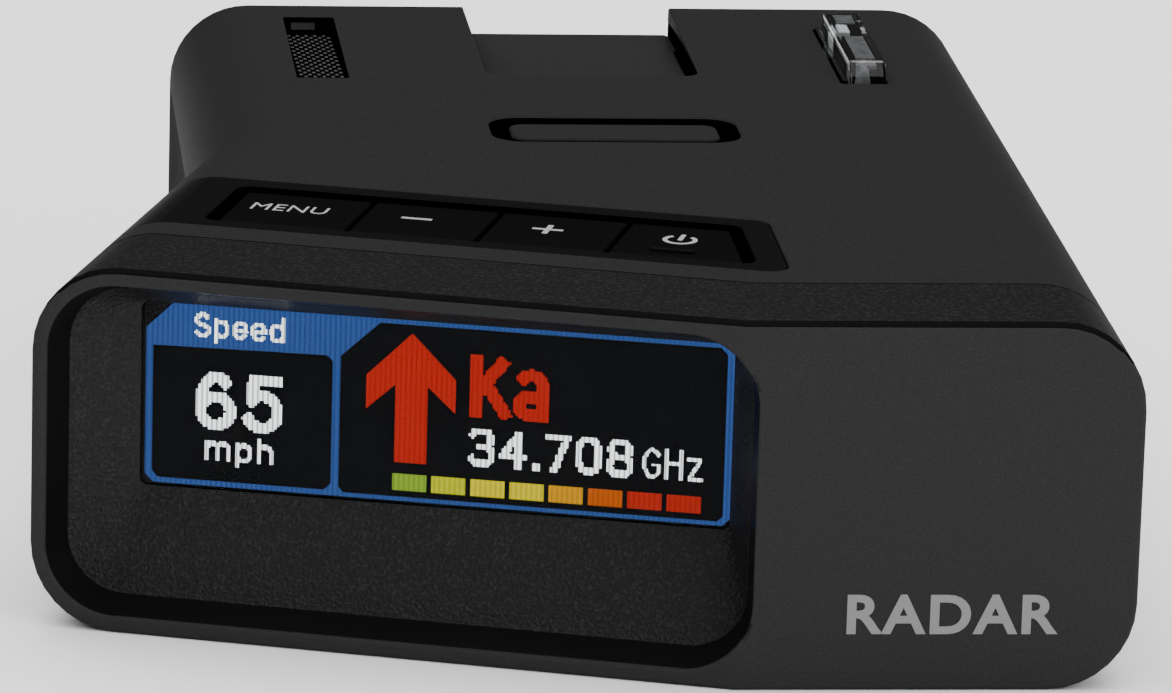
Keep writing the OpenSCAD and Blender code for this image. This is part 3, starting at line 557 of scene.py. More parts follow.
def bentLoop(depth, inset):
    return [bentPoint(u, depth, z) for u, z in faceLoop(inset)]


def mouthOutline(inset, seg=12):
    return rectOutline(recess["x0"], recess["x1"], recess["z0"], recess["z1"], recess["radius"],
                       -inset, seg)


def mouthPoint(p, depth):
    # right of the bend the mouth's edge lies on the plain face, and levels out further in
    fade = max(0.0, 1.0 - depth / recess["collarDepth"])
    return facePoint(p[0], depth + max(0.0, p[0]) * math.tan(body["turn"]) * fade, p[1])


def mouthLoop(depth, inset):
    return [mouthPoint(p, depth) for p in mouthOutline(inset)]


def bentSheet(outer, inner, depth):
    # fills the bent face between two (u, z) loops, with an edge kept along the bend
    points = [Vector(p) for p in outer + inner]
    n, m = len(outer), len(inner)
    edges = [(i, (i + 1) % n) for i in range(n)] + [(n + i, n + (i + 1) % m) for i in range(m)]
    zs = sorted(p[1] for p in outer if abs(p[0]) < 1e-6)
    near = sorted(inner, key=lambda p: abs(p[0]))[:2]
    cuts = sorted(p[1] for p in near)
    for z0, z1 in ((zs[0], cuts[0]), (cuts[1], zs[1])):
        points += [Vector((0.0, z0)), Vector((0.0, z1))]
        edges.append((len(points) - 2, len(points) - 1))
    found = geometry.delaunay_2d_cdt(points, edges, [], 0, 1e-5)
    verts, faces = found[0], found[2]
    kept = []
    for f in faces:
        c = sum((verts[i] for i in f), Vector((0, 0))) / len(f)
        if inside(c, outer) and not inside(c, inner):
            kept.append(tuple(f))
    return [bentPoint(v.x, depth, v.y) for v in verts], kept


def inside(p, loop):
    odd = False
    for i in range(len(loop)):
        a, b = loop[i - 1], loop[i]
        if (a[1] > p[1]) != (b[1] > p[1]):
            if p[0] < (b[0] - a[0]) * (p[1] - a[1]) / (b[1] - a[1]) + a[0]:
                odd = not odd
    return odd


def weld(obj, distance=0.004):
    bm = bmesh.new()
    bm.from_mesh(obj.data)
    bmesh.ops.remove_doubles(bm, verts=bm.verts, dist=distance)
    bmesh.ops.dissolve_degenerate(bm, edges=bm.edges, dist=0.0005)
    bm.to_mesh(obj.data)
    bm.free()
    return obj


fascia = {"edge": 0.5, "rearEdge": 0.1, "hole": -0.35,
          "printRoom": 0.02}  # the print on the plain face stays inside the case's size
outerLoops = [bentLoop(fascia["edge"] * (1 - math.cos(w)), fascia["edge"] * (1 - math.sin(w)))
              for w in [math.radians(15 * k) for k in range(7)]]
outerLoops += [bentLoop(body["fascia"] - fascia["rearEdge"], 0.0),
               bentLoop(body["fascia"], fascia["rearEdge"])]
mouthLoops = []
for k in range(7):
    w = math.radians(15 * k)
    mouthLoops.append(mouthLoop(recess["rim"] * (1 - math.cos(w)), recess["rim"] * (math.sin(w) - 1)))
for k in (0.33, 0.66, 1.0):
    mouthLoops.append(mouthLoop(recess["rim"] + (recess["collarDepth"] - recess["rim"]) * k,
                                recess["collarIn"] * k))
mouthLoops.append(mouthLoop(recess["collarDepth"], recess["collarIn"] - 0.5))
mouthLoops.append(mouthLoop(body["fascia"] + fascia["rearEdge"], fascia["hole"]))


def holedSheet(name, depth, inset, hole):
    # the bent face at one depth, with the mouth left open
    mouth = [(p[0] if p[0] <= 0 else p[0] / cosTurn, p[1]) for p in mouthOutline(hole)]
    return newObject(name, *bentSheet(faceLoop(inset), mouth, depth))


parts = [loft("outerEdge", outerLoops, False), loft("collar", mouthLoops, False),
         holedSheet("frontSheet", 0.0, fascia["edge"], -recess["rim"]),
         holedSheet("rearSheet", body["fascia"], fascia["rearEdge"], fascia["hole"])]
fasciaPiece = weld(joinPieces("fascia_shell", parts))
finish(fasciaPiece, softTouch, "case", ["front_fascia"], 24.0)
for v in fasciaPiece.data.vertices:
    v.co.y = max(v.co.y, (body["front"] + fascia["printRoom"]) / 1000)


def inCollar(c):
    u, depth = faceSpot(c)
    off = max(recess["x0"] - u, u - recess["x1"], recess["z0"] - c.z, c.z - recess["z1"])
    return depth > recess["rim"] * 0.8 and u < recess["x1"] + 0.2 and off < -0.001


paintWhere(fasciaPiece, collarBlack, lambda c, n: inCollar(c))
# painted shade: the fascia's upward-facing faces near the top lip are coloured darker
paintWhere(fasciaPiece, lipPaintedShade, lambda c, n: n.z > 0.4 and c.z > recess["z1"] - 2.0)
print("fascia ready")

# grained band behind the fascia

band = {"start": body["fascia"] + body["seam"], "end": body["bandDepth"] - body["seam"], "edge": 0.18,
        "lip": 0.9, "stepAt": 5.5}
steps = roundSteps(band["edge"])
loops = [bentLoop(band["start"], band["lip"])]
loops += [bentLoop(band["start"] + drop, inset) for inset, drop in reversed(steps)]
loops += [bentLoop(band["end"] - drop, inset) for inset, drop in steps]
loops += [bentLoop(band["end"], body["wall"]), bentLoop(band["stepAt"], body["wall"]),
          bentLoop(band["stepAt"] - 0.2, band["lip"]), bentLoop(band["start"], band["lip"])]
bandPiece = weld(loft("grained_band", loops, False))
finish(bandPiece, bandGrain, "case", ["front_band"], 24.0)

# scoop round the display


def screenPoint(x, back, z):
    lean = math.tan(screen["lean"])
    return facePoint(x, screen["depth"] + (x - screen["mid"]) * lean + back, z)


def screenOutline(grow, radius=0.7, seg=12):
    return rectOutline(screen["x0"], screen["x1"], screen["z0"], screen["z1"], radius, grow, seg)


scoop = {"start": recess["collarDepth"] + 0.1, "rows": 8}
loops = [[facePoint(p[0], scoop["start"] + 0.3, p[1]) for p in mouthOutline(recess["collarIn"] - 0.55)],
         [facePoint(p[0], scoop["start"], p[1]) for p in mouthOutline(recess["collarIn"] - 0.3)],
         [facePoint(p[0], scoop["start"], p[1]) for p in mouthOutline(recess["collarIn"] + 0.02)]]
wide = mouthOutline(recess["collarIn"] + 0.12)
near = screenOutline(0.0)
for k in range(scoop["rows"] + 1):
    f = k / scoop["rows"]
    loop = []
    for p, q in zip(wide, near):
        a = facePoint(p[0], scoop["start"] + 0.1, p[1])
        loop.append(a.lerp(screenPoint(q[0], -0.02, q[1]), f))
    loops.append(loop)
loops.append([screenPoint(q[0], 0.03, q[1]) for q in screenOutline(0.0)])
loops.append([screenPoint(q[0], 0.03, q[1]) for q in screenOutline(0.9)])
loops.append([screenPoint(q[0], -0.3, q[1]) for q in screenOutline(0.9)])
loops.append(loops[0])
scoopPiece = weld(loft("display_scoop", loops, False))
finish(scoopPiece, scoopGrain, "case", ["display_surround"], 32.0)

# window and lit picture

clear, tree, shader = nodeMaterial("windowClear")
through = addNode(tree, "BsdfTransparent", {"Color": (0.93, 0.94, 0.95, 1)})
mirrorBit = addNode(tree, "BsdfGlossy", {"Color": (0.6, 0.6, 0.6, 1)})
facing = addNode(tree, "Fresnel", {"IOR": 1.12})
haze = addNode(tree, "Group", {"Smudge": 0.1}, node_tree=touchGroup)
hazeSum = addNode(tree, "Math", {1: 0.12})
mixer = addNode(tree, "MixShader")
wire(tree, (haze, "Rough shift", hazeSum, 0), (hazeSum, "Value", mirrorBit, "Roughness"),
     (facing, "Fac", mixer, "Fac"), (through, "BSDF", mixer, 1), (mirrorBit, "BSDF", mixer, 2),
     (mixer, "Shader", tree.nodes["Material Output"], "Surface"))
tree.nodes.remove(shader)


def screenSlab(name, points, back, thick):
    loops = [[screenPoint(p[0], back + thick, p[1]) for p in points],
             [screenPoint(p[0], back, p[1]) for p in points]]
    return loft(name, loops)


windowPiece = screenSlab("display_pane", screenOutline(0.8, 0.3), 0.06, 0.12)
finish(windowPiece, clear, "case", ["display_window"])
panelBlack = moulded("panelBlack", {"color": (0.0015, 0.0016, 0.002), "grain": 900.0, "depth": 0.03,
                                    "rough": 0.3, "shine": 0.05, "wear": 0.0})
panelPiece = screenSlab("display_cell", screenOutline(0.7, 0.3), 0.45, 1.6)
finish(panelPiece, panelBlack, "case", ["display_panel"])

litBlue = lit("litBlue", (0.035, 0.10, 0.36), 0.34)
litBlack = lit("litBlack", (0.0003, 0.0005, 0.001), 0.2)
litWhite = lit("litWhite", (2.4, 2.45, 2.45), 0.72)
litRed = lit("litRed", (0.62, 0.018, 0.006), 0.3)
litBars = [lit("litBar%d" % i, c, 0.3) for i, c in enumerate([
    (0.30, 0.52, 0.03), (0.70, 0.74, 0.0), (0.90, 0.80, 0.0), (0.92, 0.78, 0.0),
    (0.85, 0.40, 0.0), (0.66, 0.12, 0.0), (0.58, 0.022, 0.008), (0.56, 0.02, 0.008)])]

# level 0 lies at the back; corners run round each shape in screen millimetres
pictureParts = {
    "picture_frame": (0, litBlue, [
        (-49.8, 11.2), (-2.9, 11.2), (-2.3, 11.8), (-2.3, 25.6), (-3.0, 26.35), (-48.3, 26.35),
        (-50.5, 24.2), (-50.5, 11.9)]),
    "picture_speed_box": (1, litBlack, [
        (-49.4, 11.65), (-35.6, 11.65), (-35.05, 12.2), (-35.05, 22.5), (-35.55, 22.95),
        (-49.9, 22.75), (-49.9, 12.2)]),
    "picture_main_box": (1, litBlack, [
        (-34.0, 11.55), (-3.3, 11.55), (-2.85, 12.0), (-2.85, 25.4), (-3.4, 26.0), (-31.2, 26.0),
        (-34.4, 23.0), (-34.4, 12.0)]),
    "picture_arrow": (2, litRed, [
        (-28.54, 25.3), (-32.25, 21.6), (-32.25, 18.75), (-29.85, 20.95), (-29.85, 14.45),
        (-27.2, 14.45), (-27.2, 20.95), (-24.9, 18.85), (-24.9, 21.65)])}
bars = {"x": -29.95, "pitch": 3.215, "wide": 2.8, "low": 12.1, "high": 13.5}
for i, material in enumerate(litBars):
    x = bars["x"] + bars["pitch"] * i
    pictureParts["picture_bar_%d" % i] = (2, material, [
        (x, bars["low"]), (x + bars["wide"], bars["low"]), (x + bars["wide"], bars["high"]),
        (x, bars["high"])])
for name, (level, material, corners) in pictureParts.items():
    piece = screenSlab(name, outline(corners, [0] * len(corners)), 0.40 - level * 0.035, 0.02)
    finish(piece, material, "case", [])


def lettering(text, weight, spacing, extrude):
    # mesh of a text in its own plane, as (verts, faces), scaled to a unit box
    curve = bpy.data.curves.new("letters", "FONT")
    curve.body = text
    curve.offset = weight
    curve.space_character = spacing
    curve.extrude = extrude
    curve.resolution_u = 6
    obj = bpy.data.objects.new("letters", curve)
    scene.collection.objects.link(obj)
    mesh = bpy.data.meshes.new_from_object(obj.evaluated_get(bpy.context.evaluated_depsgraph_get()))
    bpy.data.objects.remove(obj)
    verts = [v.co.copy() for v in mesh.vertices]
    faces = [tuple(p.vertices) for p in mesh.polygons]
    low = Vector([min(v[i] for v in verts) for i in range(3)])
    high = Vector([max(v[i] for v in verts) for i in range(3)])
    for v in verts:
        v.x = (v.x - low.x) / (high.x - low.x)
        v.y = (v.y - low.y) / (high.y - low.y)
        v.z = v.z / extrude
    return verts, faces


def arc(cx, cy, rx, ry, start, end, square=1.0):
    # points along an ellipse, anticlockwise when end is past start; square below 1 fills its corners
    points = []
    for k in range(25):
        w = math.radians(start + (end - start) * k / 24)
        c, s = math.cos(w), math.sin(w)
        points.append((cx + rx * math.copysign(abs(c) ** square, c),
                       cy + ry * math.copysign(abs(s) ** square, s)))
    return points


# pen strokes of each letter: baseline 0, capitals 1 high, small letters 0.73 high
bowl = arc(0.29, 0.36, 0.29, 0.36, 0, 360, 0.9)
strokes = {
    "S": [arc(0.3, 0.75, 0.29, 0.25, 35, 270) + arc(0.3, 0.25, 0.31, 0.25, 90, -150)],
    "p": [[(0, -0.24), (0, 0.73)], bowl],
    "e": [arc(0.29, 0.36, 0.29, 0.36, 0, 318, 0.9), [(0, 0.37), (0.58, 0.37)]],
    "d": [[(0.58, 0), (0.58, 1.02)], bowl],
    "6": [arc(0.29, 0.29, 0.29, 0.29, 0, 360, 0.9), [(0, 0.3), (0, 0.5)] + arc(0.3, 0.5, 0.3, 0.5, 180, 52)],
    "5": [[(0.53, 1), (0.1, 1), (0.05, 0.53)] + arc(0.27, 0.33, 0.3, 0.33, 138, -152, 0.9)],
    "m": [[(0, 0), (0, 0.73)], arc(0.23, 0.5, 0.23, 0.23, 180, 0) + [(0.46, 0)],
          arc(0.69, 0.5, 0.23, 0.23, 180, 0) + [(0.92, 0)]],
    "h": [[(0, 0), (0, 1.02)], arc(0.27, 0.46, 0.27, 0.27, 180, 0) + [(0.54, 0)]],
    "K": [[(0, 0), (0, 1)], [(0.02, 0.38), (0.5, 1)], [(0.2, 0.56), (0.56, 0)]],
    "a": [arc(0.23, 0.18, 0.23, 0.18, 0, 360, 0.85), arc(0.25, 0.58, 0.22, 0.22, 135, 0) + [(0.47, 0)]],
    "3": [arc(0.27, 0.76, 0.27, 0.24, 160, -90, 0.75), arc(0.27, 0.26, 0.3, 0.26, 90, -158, 0.75),
          [(0.2, 0.52), (0.3, 0.52)]],
    "4": [[(0.46, 0), (0.46, 1), (0, 0.3), (0.62, 0.3)]],
    ".": [[(0, 0), (0.04, 0)]],
    "7": [[(0, 1), (0.56, 1), (0.2, 0)]],
    "0": [arc(0.29, 0.5, 0.29, 0.5, 0, 360, 0.75)],
    "8": [arc(0.29, 0.76, 0.25, 0.24, 0, 360, 0.75), arc(0.29, 0.26, 0.29, 0.26, 0, 360, 0.75)],
    "G": [arc(0.36, 0.5, 0.36, 0.5, 45, 320) + [(0.68, 0.44), (0.4, 0.44)]],
    "H": [[(0, 0), (0, 1)], [(0.66, 0), (0.66, 1)], [(0, 0.52), (0.66, 0.52)]],
    "z": [[(0, 0.73), (0.5, 0.73), (0, 0), (0.52, 0)]]}


def nearStroke(x, z, line, reach):
    # whether a point lies on a pen line whose two ends are cut square
    last = len(line) - 2
    for i, ((ax, az), (bx, bz)) in enumerate(zip(line, line[1:])):
        length = math.hypot(bx - ax, bz - az)
        if length < 0.001:
            continue
        along = ((x - ax) * (bx - ax) + (z - az) * (bz - az)) / length
        across = abs((x - ax) * (bz - az) - (z - az) * (bx - ax)) / length
        over = max(0.0, -along, along - length)
        squareEnd = (i == 0 and along < 0) or (i == last and along > length)
        if across < reach and over < reach and (squareEnd or math.hypot(across, over) < reach):
            return True
    return False


def dottedText(name, text, x0, x1, z0, z1, material, weight, gap, dot):
    # letters drawn as the display draws them: whole dots, joined down each column
    glyphs = [strokes[letter] for letter in text]
    widths = [max(p[0] for line in glyph for p in line) for glyph in glyphs]
    low = min(p[1] for glyph in glyphs for line in glyph for p in line)
    high = max(p[1] for glyph in glyphs for line in glyph for p in line)
    scaleX = (x1 - x0 - weight - (gap + weight) * (len(text) - 1)) / sum(widths)
    scaleZ = (z1 - z0 - weight) / (high - low)
    lines = []
    pen = x0 + weight / 2
    for glyph, width in zip(glyphs, widths):
        for line in glyph:
            lines.append([(pen + p[0] * scaleX, z0 + weight / 2 + (p[1] - low) * scaleZ) for p in line])
        pen += width * scaleX + gap + weight
    points = []
    quads = []
    rows = round((z1 - z0) / dot)
    for i in range(round((x1 - x0) / dot)):
        run = None
        for j in range(rows + 1):
            x, z = x0 + (i + 0.5) * dot, z0 + (j + 0.5) * dot
            on = j < rows and any(nearStroke(x, z, line, weight / 2) for line in lines)
            if on and run is None:
                run = j
            if not on and run is not None:
                a, b = x0 + i * dot, x0 + (i + 1) * dot
                c, d = z0 + run * dot, z0 + j * dot
                base = len(points)
                points += [screenPoint(u, 0.325, v) for u, v in ((a, c), (b, c), (b, d), (a, d))]
                quads.append((base, base + 1, base + 2, base + 3))
                run = None
    return finish(newObject(name, points, quads), material, "case", [], orient=False)


coarse, fine = 0.21, 0.15  # the size of one dot of the display's letters
displayWords = {
    "picture_speed_word": ("Speed", -46.5, -39.0, 23.25, 25.8, litWhite, 0.33, 0.24, fine),
    "picture_speed_number": ("65", -46.3, -39.1, 16.0, 20.9, litWhite, 0.9, 0.6, coarse),
    "picture_speed_unit": ("mph", -45.5, -39.8, 12.95, 15.55, litWhite, 0.36, 0.34, fine),
    "picture_band_name": ("Ka", -23.75, -17.25, 18.7, 23.85, litRed, 1.05, 0.15, coarse),
    "picture_frequency": ("34.708", -23.75, -10.25, 14.6, 17.85, litWhite, 0.54, 0.38, coarse),
    "picture_frequency_unit": ("GHz", -9.5, -4.6, 14.75, 17.25, litWhite, 0.28, 0.32, fine)}
for name, word in displayWords.items():
    dottedText(name, *word)
print("display ready")


# upper shell


def slantOutline(x0, rightX, y0, y1, radii, grow=0.0, seg=6):
    # front and rear follow the display face, the right end follows the case's side
    e0 = (rightX - body["bend"]) / cosTurn - y0 * turnTan
    e1 = (rightX - body["bend"]) / cosTurn - y1 * turnTan
    return outline([(x0, y0), (e0, y0), (e1, y1), (x0, y1)], radii, grow, seg)


deck = {"front": 16.9, "rear": 32.8, "right": 17.1, "radius": 1.6, "rim": 0.16}
row = {"x0": -48.303, "right": 13.8, "y0": 19.55, "y1": 29.85, "pitch": 10.9, "gap": 0.32}
mute = {"x": 9.1, "y": 2.7, "cy": 8.2, "radius": 1.3, "gap": 0.32, "slope": 1.7, "deep": 1.2}
notch = {"half": 9.55, "long": 27.7, "deep": 2.6, "corner": 1.5}
pocket = {"x0": -19.1, "x1": -14.5, "y0": 27.0, "y1": 51.2, "deep": 1.4, "ramp": 0.55}
lensLow, lensHigh = cadBox("periscope_lens")
lens = {"x0": lensLow[0] + 0.55, "x1": lensHigh[0], "y0": lensLow[1], "y1": lensHigh[1], "flange": 0.55}
seatLow, coverInside = 15.0, 20.0  # heights that lie well inside the shell

coverPiece = shellForm("upper_shell", 0.0, coverLow[2], True, body["bandDepth"] + 0.02, body["rear"],
                       body["rearRim"])
combine(coverPiece, innerForm(coverInside, True))
# thicker places that carry the notch and the pocket: x, y and z from and to
pads = {"notchPad": (middle - 11.3, middle + 11.3, 26.7, 55.3, 25.9, 28.9),
        "pocketPad": (-20.7, -12.9, 25.2, 52.8, 26.4, 28.9)}
for name, spot in pads.items():
    combine(coverPiece, box(name, *spot), "UNION")


def deckOutline(g):
    return slantOutline(-faceLength - 5, deck["right"], deck["front"], deck["rear"],
                        [0, deck["radius"], deck["radius"], 0], g)


combine(coverPiece, flared("deckSeat", deckOutline, seatLow, body["seam"], deck["rim"], place=turnedUp))


def muteLoop(z, grow, radius):
    # a ring round the mute bar's place, grown from the bar's own outline
    return upright(rectOutline(middle - mute["x"], middle + mute["x"], mute["cy"] - mute["y"],
                               mute["cy"] + mute["y"], radius - grow, grow, 8), z)


wellTop = hullTop - mute["deep"]
wellSteps = [(26.0, mute["gap"], 1.62), (wellTop - 0.1, mute["gap"], 1.62),
             (wellTop, mute["gap"] + 0.08, 1.7)]
for f in (0.25, 0.5, 0.75, 1.0):
    wellSteps.append((wellTop + (mute["deep"] - 0.2) * f,
                      mute["gap"] + 0.08 + (mute["slope"] - 0.5) * f, 1.7 + 1.0 * f))
wellSteps += [(hullTop - 0.09, mute["slope"] + 0.03, 2.8), (hullTop - 0.02, mute["slope"] + 0.2, 2.95),
              (hullTop + 1.0, mute["slope"] + 0.2, 2.95)]
combine(coverPiece, loft("muteWell", [muteLoop(*step) for step in wellSteps]))


def notchFloor(p):
    y0 = body["rear"] - notch["long"]
    return hullTop - 0.03 - notch["deep"] * max(0.0, p[1] - y0) / notch["long"]


def notchOutline(g):
    return outline([(middle - notch["half"], body["rear"] - notch["long"]),
                    (middle + notch["half"], body["rear"] - notch["long"]),
                    (middle + notch["half"], body["rear"] + 3), (middle - notch["half"], body["rear"] + 3)],
                   [notch["corner"], notch["corner"], 0, 0], g, 8)


combine(coverPiece, flared("notchCut", notchOutline, 0, 0.0, 0.3, floor=notchFloor))

# the notch floor dips into a gutter along each side wall; each station is (along, share of depth)
gutter = {"wide": 3.4, "deep": 1.0, "flat": 0.6, "wall": 0.55, "rise": 0.03}
gutterStations = [(0.35, 0.25), (0.6, 0.6), (1.0, 0.85), (1.5, 1.0), (8.0, 0.95), (14.0, 0.75),
                  (20.0, 0.5), (25.0, 0.25), (27.6, 0.12), (30.0, 0.05)]


def gutterLoop(side, along, share):
    y = body["rear"] - notch["long"] + along
    short = max(0.0, notch["corner"] - along)
    inward = notch["corner"] - math.sqrt(notch["corner"] ** 2 - short ** 2)
    wall = notch["half"] + 0.02 - inward
    floorZ = notchFloor((0, y))
    mouthZ, low = floorZ + 0.03, floorZ - gutter["deep"] * share
    top = max(mouthZ, min(floorZ + gutter["wall"] + gutter["rise"] * along, hullTop - 0.25))
    section = [(wall - gutter["wide"] * share, mouthZ), (wall - gutter["flat"] * share, low + 0.1 * share),
               (wall, low), (wall, top)]
    return [Vector((middle + side * x, y, z)) for x, z in section]


for side in (-1, 1):
    combine(coverPiece, loft("gutter", [gutterLoop(side, a, k) for a, k in gutterStations]))


def pocketFloor(p):
    share = (p[1] - pocket["y0"]) / (pocket["y1"] - pocket["y0"])
    return hullTop - pocket["ramp"] - 0.06 - pocket["deep"] * max(0.0, share)


def pocketOutline(g):
    return rectOutline(pocket["x0"], pocket["x1"], pocket["y0"], pocket["y1"], 0.25, g)


combine(coverPiece, flared("pocketCut", pocketOutline, 0, 0.0, 0.14, floor=pocketFloor))
combine(coverPiece, box("sensorSlot", -18.4, -16.1, 50.5, 52.0, 29.0, 29.8))


def lensOutline(g):
    return rectOutline(lens["x0"] - lens["flange"], lens["x1"], lens["y0"], lens["y1"], 0.2, g)


combine(coverPiece, flared("lensSeat", lensOutline, coverInside, 0.12, 0.16))
combine(coverPiece, box("bracketSlot", middle - 8.0, middle + 8.0, 54.0, 58.0, 22.7, 25.95))
finish(weld(coverPiece, 0.001), coverShell, "case", ["top_cover"], 26.0)


def inMuteWell(c):
    reach = mute["slope"] + 0.1
    across = abs(c.x - middle) < mute["x"] + reach and abs(c.y - mute["cy"]) < mute["y"] + reach
    return across and c.z < hullTop - 0.1


def inPocket(c):
    across = pocket["x0"] - 0.2 < c.x < pocket["x1"] + 0.1 and pocket["y0"] < c.y < pocket["y1"] + 0.6
    return across and c.z < hullTop - 0.06


def inLensSeat(c):
    across = lens["x0"] - 0.8 < c.x < lens["x1"] + 0.2 and lens["y0"] - 0.2 < c.y < lens["y1"] + 0.2
    return across and c.z < hullTop - 0.06


def inGutter(c, normal):
    out = abs(c.x - middle)
    along = c.y - body["rear"] + notch["long"]
    floorZ = notchFloor((0, c.y))
    wall = notch["half"] - gutter["flat"] - 0.05 < out < notch["half"] + 0.03
    sunk = 26.0 < c.z < floorZ + gutter["wall"] + gutter["rise"] * along
    steep = abs(normal.x) > 0.7 or c.z < floorZ - 0.5 * gutter["deep"]
    return wall and sunk and steep and 0.3 < along < notch["long"] - 0.05


# painted shade: the faces down inside the mute well, the pocket, the lens seat and the notch gutters are
# coloured near black
paintWhere(coverPiece, paintedShadeBlack,
           lambda c, n: inMuteWell(c) or inPocket(c) or inLensSeat(c) or inGutter(c, n))
print("upper shell ready")

# lower shell

speaker = {"x": -10.2, "y": 16.0, "pitch": 3.0, "reach": 10.0}
label = {"x0": 2, "x1": 28, "y0": -22, "y1": 10, "radius": 1.5}
screwBore = [(0, 2.7), (0.9, 2.7), (1.25, 2.35), (2.9, 2.35), (2.9, 1.35), (6, 1.35)]
grilleBore = [(0, 1.05), (1.0, 1.0), (1.25, 0.75), (4, 0.75)]
audio = {"y": 31.0, "z": 12.3, "lipX": -29.0, "ringX": -24.5,
         "bore": [(0, 3.3), (1.7, 3.3), (2.0, 3.0), (5, 3.0)],
         "lip": [(2.4, 2.85), (0.2, 2.85), (0, 2.65), (0, 2.1), (0.3, 1.8), (11.8, 1.8)],
         "ring": [(0, 1.79), (0.0, 1.62), (1.2, 1.62), (1.2, 1.79)]}
infrared = {"x": middle + 19, "z": 14.1, "halfX": 6.86, "halfZ": 3.36, "hole": 7.0,
            "plate": (middle + 11, middle + 27, 53.5, 54.3, 9.7, 18.5)}
besideDeck = facePoint(-faceLength + 7.9, deck["rear"] + 2.8 + 1.4, 0)  # the fourth screw's boss
screws = [(-21.8, 48.8), (36.6, 48.8), (36.6, -37.15), (besideDeck.x, besideDeck.y)]


def wallHole(name, node, room):
    # the opening in the left wall for a socket, with room round it
    low, high = cadBox(node)
    return box(name, body["left"] - 1.8, body["left"] + 3.2, low[1] - room, high[1] + room,
               low[2] - room, high[2] + room)


casePiece = shellForm("lower_shell", 0.0, caseHigh[2], False, body["bandDepth"] + 0.02, body["rear"],
                      body["rearRim"])
combine(casePiece, innerForm(25.0, False))
combine(casePiece, wallHole("powerHole", "power_jack", 0.1))
combine(casePiece, wallHole("usbHole", "usb_port", 0.3))
combine(casePiece, tube("audioHole", (body["left"] - 1.8, audio["y"], audio["z"]), (1, 0, 0),
                        audio["bore"]))
combine(casePiece, box("windowHole", infrared["x"] - infrared["hole"], infrared["x"] + infrared["hole"],
                       54, 58, infrared["z"] - infrared["hole"] / 2, infrared["z"] + infrared["hole"] / 2))
for x, y in screws:
    combine(casePiece, tube("screwHole", (x, y, -1), (0, 0, 1), screwBore))
for i in range(-3, 4):
    for j in range(-3, 4):
        x = (i + (j % 2) / 2) * speaker["pitch"]
        y = j * speaker["pitch"] * 0.87
        if math.hypot(x, y) < speaker["reach"]:
            combine(casePiece, tube("grilleHole", (speaker["x"] + x, speaker["y"] + y, -1), (0, 0, 1),
                                    grilleBore, 20))
labelLoops = [upright(rectOutline(middle + label["x0"], middle + label["x1"], label["y0"], label["y1"],
                                  label["radius"], g), z)
              for g, z in ((0.2, -1), (0.12, 0.0), (0, 0.12), (0, 0.3))]
combine(casePiece, loft("labelRecess", labelLoops))
finish(weld(casePiece, 0.001), caseShell, "case", ["bottom_case"], 26.0)
print("lower shell ready")

# key deck

deckPiece = shellForm("key_deck_strip", 0.0, coverLow[2], True, body["bandDepth"], body["rear"])
combine(deckPiece, innerForm(coverInside, True))
zoneLoops = [turnedUp(deckOutline(0.0), seatLow)]
for k in range(6):
    w = math.radians(15.0 * k)
    inset, drop = deck["rim"] * (1 - math.cos(w)), deck["rim"] * (1 - math.sin(w))
    zoneLoops.append(turnedUp(deckOutline(-inset), hullTop - drop))
zoneLoops.append([Vector((v.x, v.y, hullTop + 1.0)) for v in zoneLoops[-1]])
combine(deckPiece, loft("deckZone", zoneLoops), "INTERSECT")


def rowLoop(z, grow, radius):
    return turnedUp(slantOutline(row["x0"], row["right"], row["y0"], row["y1"], [radius - grow] * 4,
                                 grow, 8), z)


# (height, gap round the keys, corner radius) from the floor to the flared mouth
keyWell = [(26.0, 0.32, 0.6), (29.3, 0.32, 0.6), (29.4, 0.36, 0.7)]
keyWell += [(29.4 + 0.75 * f, 0.36 + 0.44 * f, 0.7 + 0.4 * f) for f in (0.25, 0.5, 0.75, 1.0)]
keyWell += [(30.23, 0.95, 1.25), (30.28, 1.1, 1.35), (31.5, 1.1, 1.35)]
combine(deckPiece, loft("keyWell", [rowLoop(*step) for step in keyWell]))
finish(weld(deckPiece, 0.001), deckBlack, "case", ["key_deck"], 26.0)


def inKeyWell(c):
    u, depth = faceSpot(c)
    return row["y0"] - 1 < depth < row["y1"] + 1 and u > row["x0"] - 1 and 26.0 < c.z < hullTop - 0.1


# painted shade: the faces down inside the key well are coloured near black
paintWhere(deckPiece, paintedShadeBlack, lambda c, n: inKeyWell(c))

# keys and their legends


def keyOutline(i, grow, radius=0.4):
    half = row["gap"] / 2
    x0 = row["x0"] + i * row["pitch"] + (half if i else 0)
    y0, y1 = row["y0"], row["y1"]
    if i == 3:
        return slantOutline(x0, row["right"], y0, y1, [radius] * 4, grow, 5)
    x1 = row["x0"] + (i + 1) * row["pitch"] - half
    return rectOutline(x0, x1, y0, y1, radius, grow, 5)


def keyMiddle(i):
    mid = (row["y0"] + row["y1"]) / 2
    if i == 3:
        right = (row["right"] - body["bend"]) / cosTurn - mid * turnTan
        return ((row["x0"] + 3 * row["pitch"] + right) / 2, mid)
    return (row["x0"] + (i + 0.5) * row["pitch"], mid)


